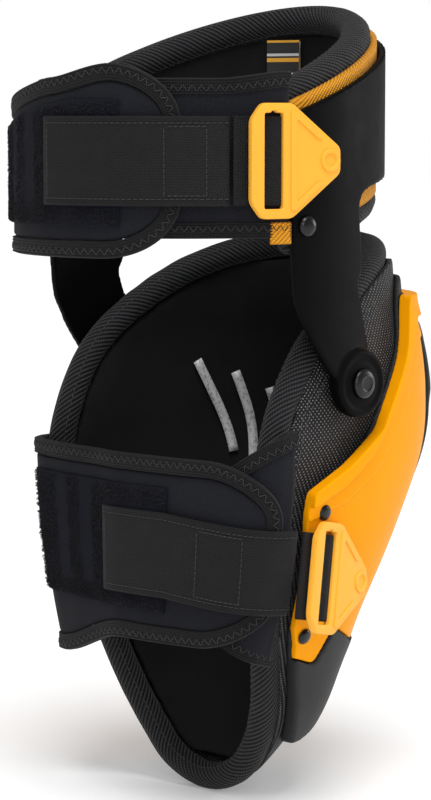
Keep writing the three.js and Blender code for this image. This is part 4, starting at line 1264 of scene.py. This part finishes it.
def elastics():
    elastic("thigh", oval, np.linspace(123.5, 183, 70), lambda a: WEB_MIDDLE, 0.4, 1.8, (130, 142), 181)
    elastic("calf", calf, np.linspace(-0.89, 0.12, 80), lambda s: 117.5 - 9 * max(0, -s - 0.3), 8.8, 10.0,
            (-0.72, -0.5), 0.09)


# ---------------------------------------------------------------- buckles
# Outlines in the buckle's own axes: x forward to its tip, y upright, with the stud as the origin.
BUCKLE_OUTLINE = [
    (5.5, -5.5), (5.5, 5.5), (-19.5, 24.5), (-34.5, 24.5), (-40, 17.5), (-40, -17.5), (-34.5, -24.5),
    (-19.5, -24.5),
]
BUCKLE_SLOT = [
    (-33.5, -20.3), (-24.0, -20.3), (-24.0, 20.3), (-27.2, 20.3), (-27.6, 21.2), (-29.9, 21.2),
    (-30.3, 20.3), (-33.5, 20.3),
]
BUCKLE_RIDGE = [
    (-20.5, -21), (-20.5, 21), (-18.2, 21.4), (-4.0, 10.2), (-5.6, 8.6), (-17.4, 17.6), (-17.4, -17.6),
    (-5.6, -8.6), (-4.0, -10.2), (-18.2, -21.4),
]
BUCKLE_THICK = 3.4
RING_PROFILE = [(0, -0.3), (2.6, -0.3), (2.9, 0.35), (3.5, 0.9), (4.6, 0.9), (5.0, 0.4), (5.0, -0.6), (0, -0.6)]
WELD_REACH = 0.00002                        # metres


def hang(joint_name, up, bar=None):
    """Stud of a buckle, and the buckle's axes as rows forward, upright, outward."""
    joint = JOINTS[joint_name]
    stud_at = np.array(joint["pos_m"]) / MM - (0, LEG_Y, 0)
    if bar is None:
        outward = unit(np.array(joint["axis"], float))
        forward = np.cross(up, outward)
    else:
        forward = unit(stud_at - bar)
        outward = unit(np.cross(forward, up))
    return stud_at, np.array([forward, np.cross(outward, forward), outward])


HANGS = {
    "thigh": hang("thigh_buckle_swivel", (0.0, 0.0, 1.0)),
    "calf": hang("calf_buckle_swivel", (0.06, -0.21, 0.97), bar=(-82.0, 14.0, 110.5)),
}


def hung(points, part):
    """Points in a buckle's own axes, placed in the frame."""
    stud_at, axes = HANGS[part]
    return stud_at + np.asarray(points) @ axes


def plate(name, part, outlines, low, high, bevel, *nodes):
    """Plate with bevelled edges from an outline and its holes."""
    curve = bpy.data.curves.new(name, "CURVE")
    curve.dimensions = "2D"
    curve.fill_mode = "BOTH"
    curve.extrude = (high - low) / 2 - bevel
    curve.bevel_depth = bevel
    curve.bevel_resolution = 3
    curve.offset = -bevel
    for points in outlines:
        spline = curve.splines.new("POLY")
        spline.points.add(len(points) - 1)
        for point, (x, y) in zip(spline.points, points):
            point.co = (x, y, 0, 1)
        spline.use_cyclic_u = True
    holder = bpy.data.objects.new(name, curve)
    bpy.context.scene.collection.objects.link(holder)
    mesh = evaluated_mesh(holder)
    bpy.data.objects.remove(holder)
    points = vertices_of(mesh) + (0, 0, (low + high) / 2)
    faces = [list(polygon.vertices) for polygon in mesh.polygons]
    bpy.data.meshes.remove(mesh)
    piece = applied(make(name, hung(points, part), faces, BUCKLE_YELLOW), WELD=dict(merge_threshold=WELD_REACH))
    finish_piece(face_out(piece), f"{part}_buckle_body", "yellow_buckle", *nodes)


def buckle(part, drop):
    """Moulded buckle with a slot, a ridge beside it and a ring round the stud, and the elastic's end."""
    name, body = f"buckle_{part}", f"{part}_buckle_body"
    stud_at, axes = HANGS[part]
    plate(name, part, [fillet(BUCKLE_OUTLINE, 2.2), fillet(BUCKLE_SLOT, 1.0, 4)], 0, BUCKLE_THICK, 0.7,
          f"{part}_buckle")
    plate(f"{name}_ridge", part, [fillet(BUCKLE_RIDGE, 1.0, 3)], BUCKLE_THICK - 0.6, BUCKLE_THICK + 0.75, 0.45)
    ring = [(radius, BUCKLE_THICK + height) for radius, height in RING_PROFILE]
    turned(f"{name}_ring", stud_at, axes[2], ring, 0.3, BUCKLE_YELLOW, 48, body, "yellow_buckle")
    # The elastic comes in under the outer bar, a drop below the plate, and up through the slot.
    upper = [(-44.5, -drop), (-40, -drop * 0.75 - 0.1), (-35, -0.5 - drop / 4), (-32, -0.5), (-29, 0.9),
             (-26.8, 1.95), (-24.4, 1.95)]
    lower = [(-24.4, 0.6), (-26.3, 0.5), (-28.6, -0.7), (-32, -1.9), (-35, -1.9 - drop / 4),
             (-40, -1.5 - drop * 0.75), (-44.5, -drop - 1.4)]
    loop = np.vstack([catmull(upper, 4), catmull(lower, 4)])
    rings = []
    for y in np.linspace(-WEB_WIDTH / 2, WEB_WIDTH / 2, 40):
        pinch = 0.85 if abs(y) > WEB_WIDTH / 2 - 0.4 else 1.0
        rings.append(hung(np.column_stack([loop[:, 0], np.full(len(loop), y), loop[:, 1] * pinch]), part))
    finish_piece(loft(f"{name}_web", rings, WEBBING), body, "elastic_webbing", f"{part}_elastic_tab")


def buckle_stud(part, depth):
    """Pin and boss that the buckle hooks on."""
    stud_at, axes = HANGS[part]
    profile = [(0, -depth), (7.4, -depth), (7.4, -1.0), (6.8, -0.35), (2.7, -0.35), (2.7, 1.5), (2.3, 1.7),
               (0, 1.7)]
    turned(f"stud_{part}", stud_at, axes[2], profile, 0.3, BLACK_NYLON, 40, BODY_OF[part], "black_rivet",
           f"{part}_buckle_stud")


def buckle_seat():
    """Round boss on the shell under the tip of the thigh buckle."""
    stud_at, axes = HANGS["thigh"]
    turned("thigh_buckle_seat", stud_at, axes[2], SEAT_PROFILE, 0.2, BLACK_NYLON, 64, "thigh", "black_nylon")


# ---------------------------------------------------------------- carried-over CAD nodes
def dress_hidden_nodes():
    looks = {"knee_gel_pad": GEL}
    for name, _ in SIDES:
        looks[f"side_bracket_{name}"] = looks[f"pivot_washer_{name}"] = BLACK_NYLON
    for node, material in looks.items():
        mesh = frame["nodes"][node].data
        mesh.materials.clear()
        mesh.materials.append(material)


# ---------------------------------------------------------------- stage, in metres
LAMPS = (("left", (-1.1, 0.9, 0.7), 0.7, 5.0), ("right", (-0.6, -1.2, 0.5), 0.5, 4.0))    # place, size, power
LAMP_TARGET = Vector((0, 0, 0.18))
SEEN_WORLD, LIT_WORLD = 1.0, 0.34           # strength for the camera, and as a light
VIEW_BACK = unit(np.array([-0.7032, 0.7032, 0.1045]))
VIEW_DISTANCE = 1.3


def aimed(name, data, place, direction):
    """Lamp or camera at a place, looking along a direction."""
    holder = bpy.data.objects.new(name, data)
    holder.location = place
    holder.rotation_euler = Vector(direction).to_track_quat("-Z", "Y").to_euler()
    bpy.context.scene.collection.objects.link(holder)
    return holder


def floor():
    """Plain pale floor."""
    shader = Shader("floor", (0.92, 0.92, 0.92), 0.7, 0.2, Emission_Color=(1, 1, 1, 1), Emission_Strength=0.16)
    shader.paint(shader.noise(shader.place(), 4, 2), (0.91, 0.91, 0.91), (0.93, 0.93, 0.93))
    half = 9000
    make("floor", [(-half, -half, 0), (half, -half, 0), (half, half, 0), (-half, half, 0)],
                  [(0, 1, 2, 3)], shader.material, smooth=False)


def studio():
    """Soft studio light, from a world that is plain white where the camera sees it."""
    world = bpy.data.worlds.new("studio")
    world.use_nodes = True
    tree = world.node_tree
    seen, lit = tree.nodes["Background"], tree.nodes.new("ShaderNodeBackground")
    for background, strength in ((seen, SEEN_WORLD), (lit, LIT_WORLD)):
        background.inputs["Color"].default_value = (1, 1, 1, 1)
        background.inputs["Strength"].default_value = strength
    mixed = tree.nodes.new("ShaderNodeMixShader")
    rays = tree.nodes.new("ShaderNodeLightPath")
    for source, socket in ((rays.outputs["Is Camera Ray"], mixed.inputs[0]), (lit.outputs[0], mixed.inputs[1]),
                           (seen.outputs[0], mixed.inputs[2]),
                           (mixed.outputs[0], tree.nodes["World Output"].inputs["Surface"])):
        tree.links.new(source, socket)
    bpy.context.scene.world = world
    bpy.context.scene.view_settings.view_transform = "Standard"
    sky = bpy.data.lights.new("sky", "SUN")
    sky.energy = 2.3
    sky.angle = math.radians(34)
    aimed("sky", sky, (0, 0, 0), (0.35, -0.25, -1))
    for name, place, size, power in LAMPS:
        light = bpy.data.lights.new(name, "AREA")
        light.energy = power
        light.size = size
        aimed(name, light, place, LAMP_TARGET - Vector(place))


def camera():
    """Camera at the photograph's angle."""
    data = bpy.data.cameras.new("camera")
    data.lens = 128.7
    data.sensor_width = 36
    data.clip_end = 50
    data.shift_x = 0.0219
    data.shift_y = 0.015
    target = np.array([0, LEG_Y * MM, 0.175])
    bpy.context.scene.camera = aimed("camera", data, target + VIEW_BACK * VIEW_DISTANCE, -VIEW_BACK)


# ---------------------------------------------------------------- build
for build in (floor, studio, camera, knee_lining, knee_cover, knee_binding, lining_print, cover_seams,
              knee_base, knee_frame, knee_cap, cap_edges, frame_rivets, pivots, arm_rivets, thigh_shell,
              shell_badge, buckle_seat, thigh_pad):
    build()
oval_roll("thigh_roll_top", -13.5, 6.8, roll_height, 114.5, "thigh_top_roll")
oval_roll("thigh_roll_low", -9.6, 5.4, lower_roll_height, 104.0, "thigh_bottom_roll")
thigh_label()
thigh_straps()
calf_straps()
elastics()
buckle("thigh", drop=3.6)
buckle("calf", drop=1.0)
buckle_stud("thigh", depth=4.0)
buckle_stud("calf", depth=7.0)
dress_hidden_nodes()
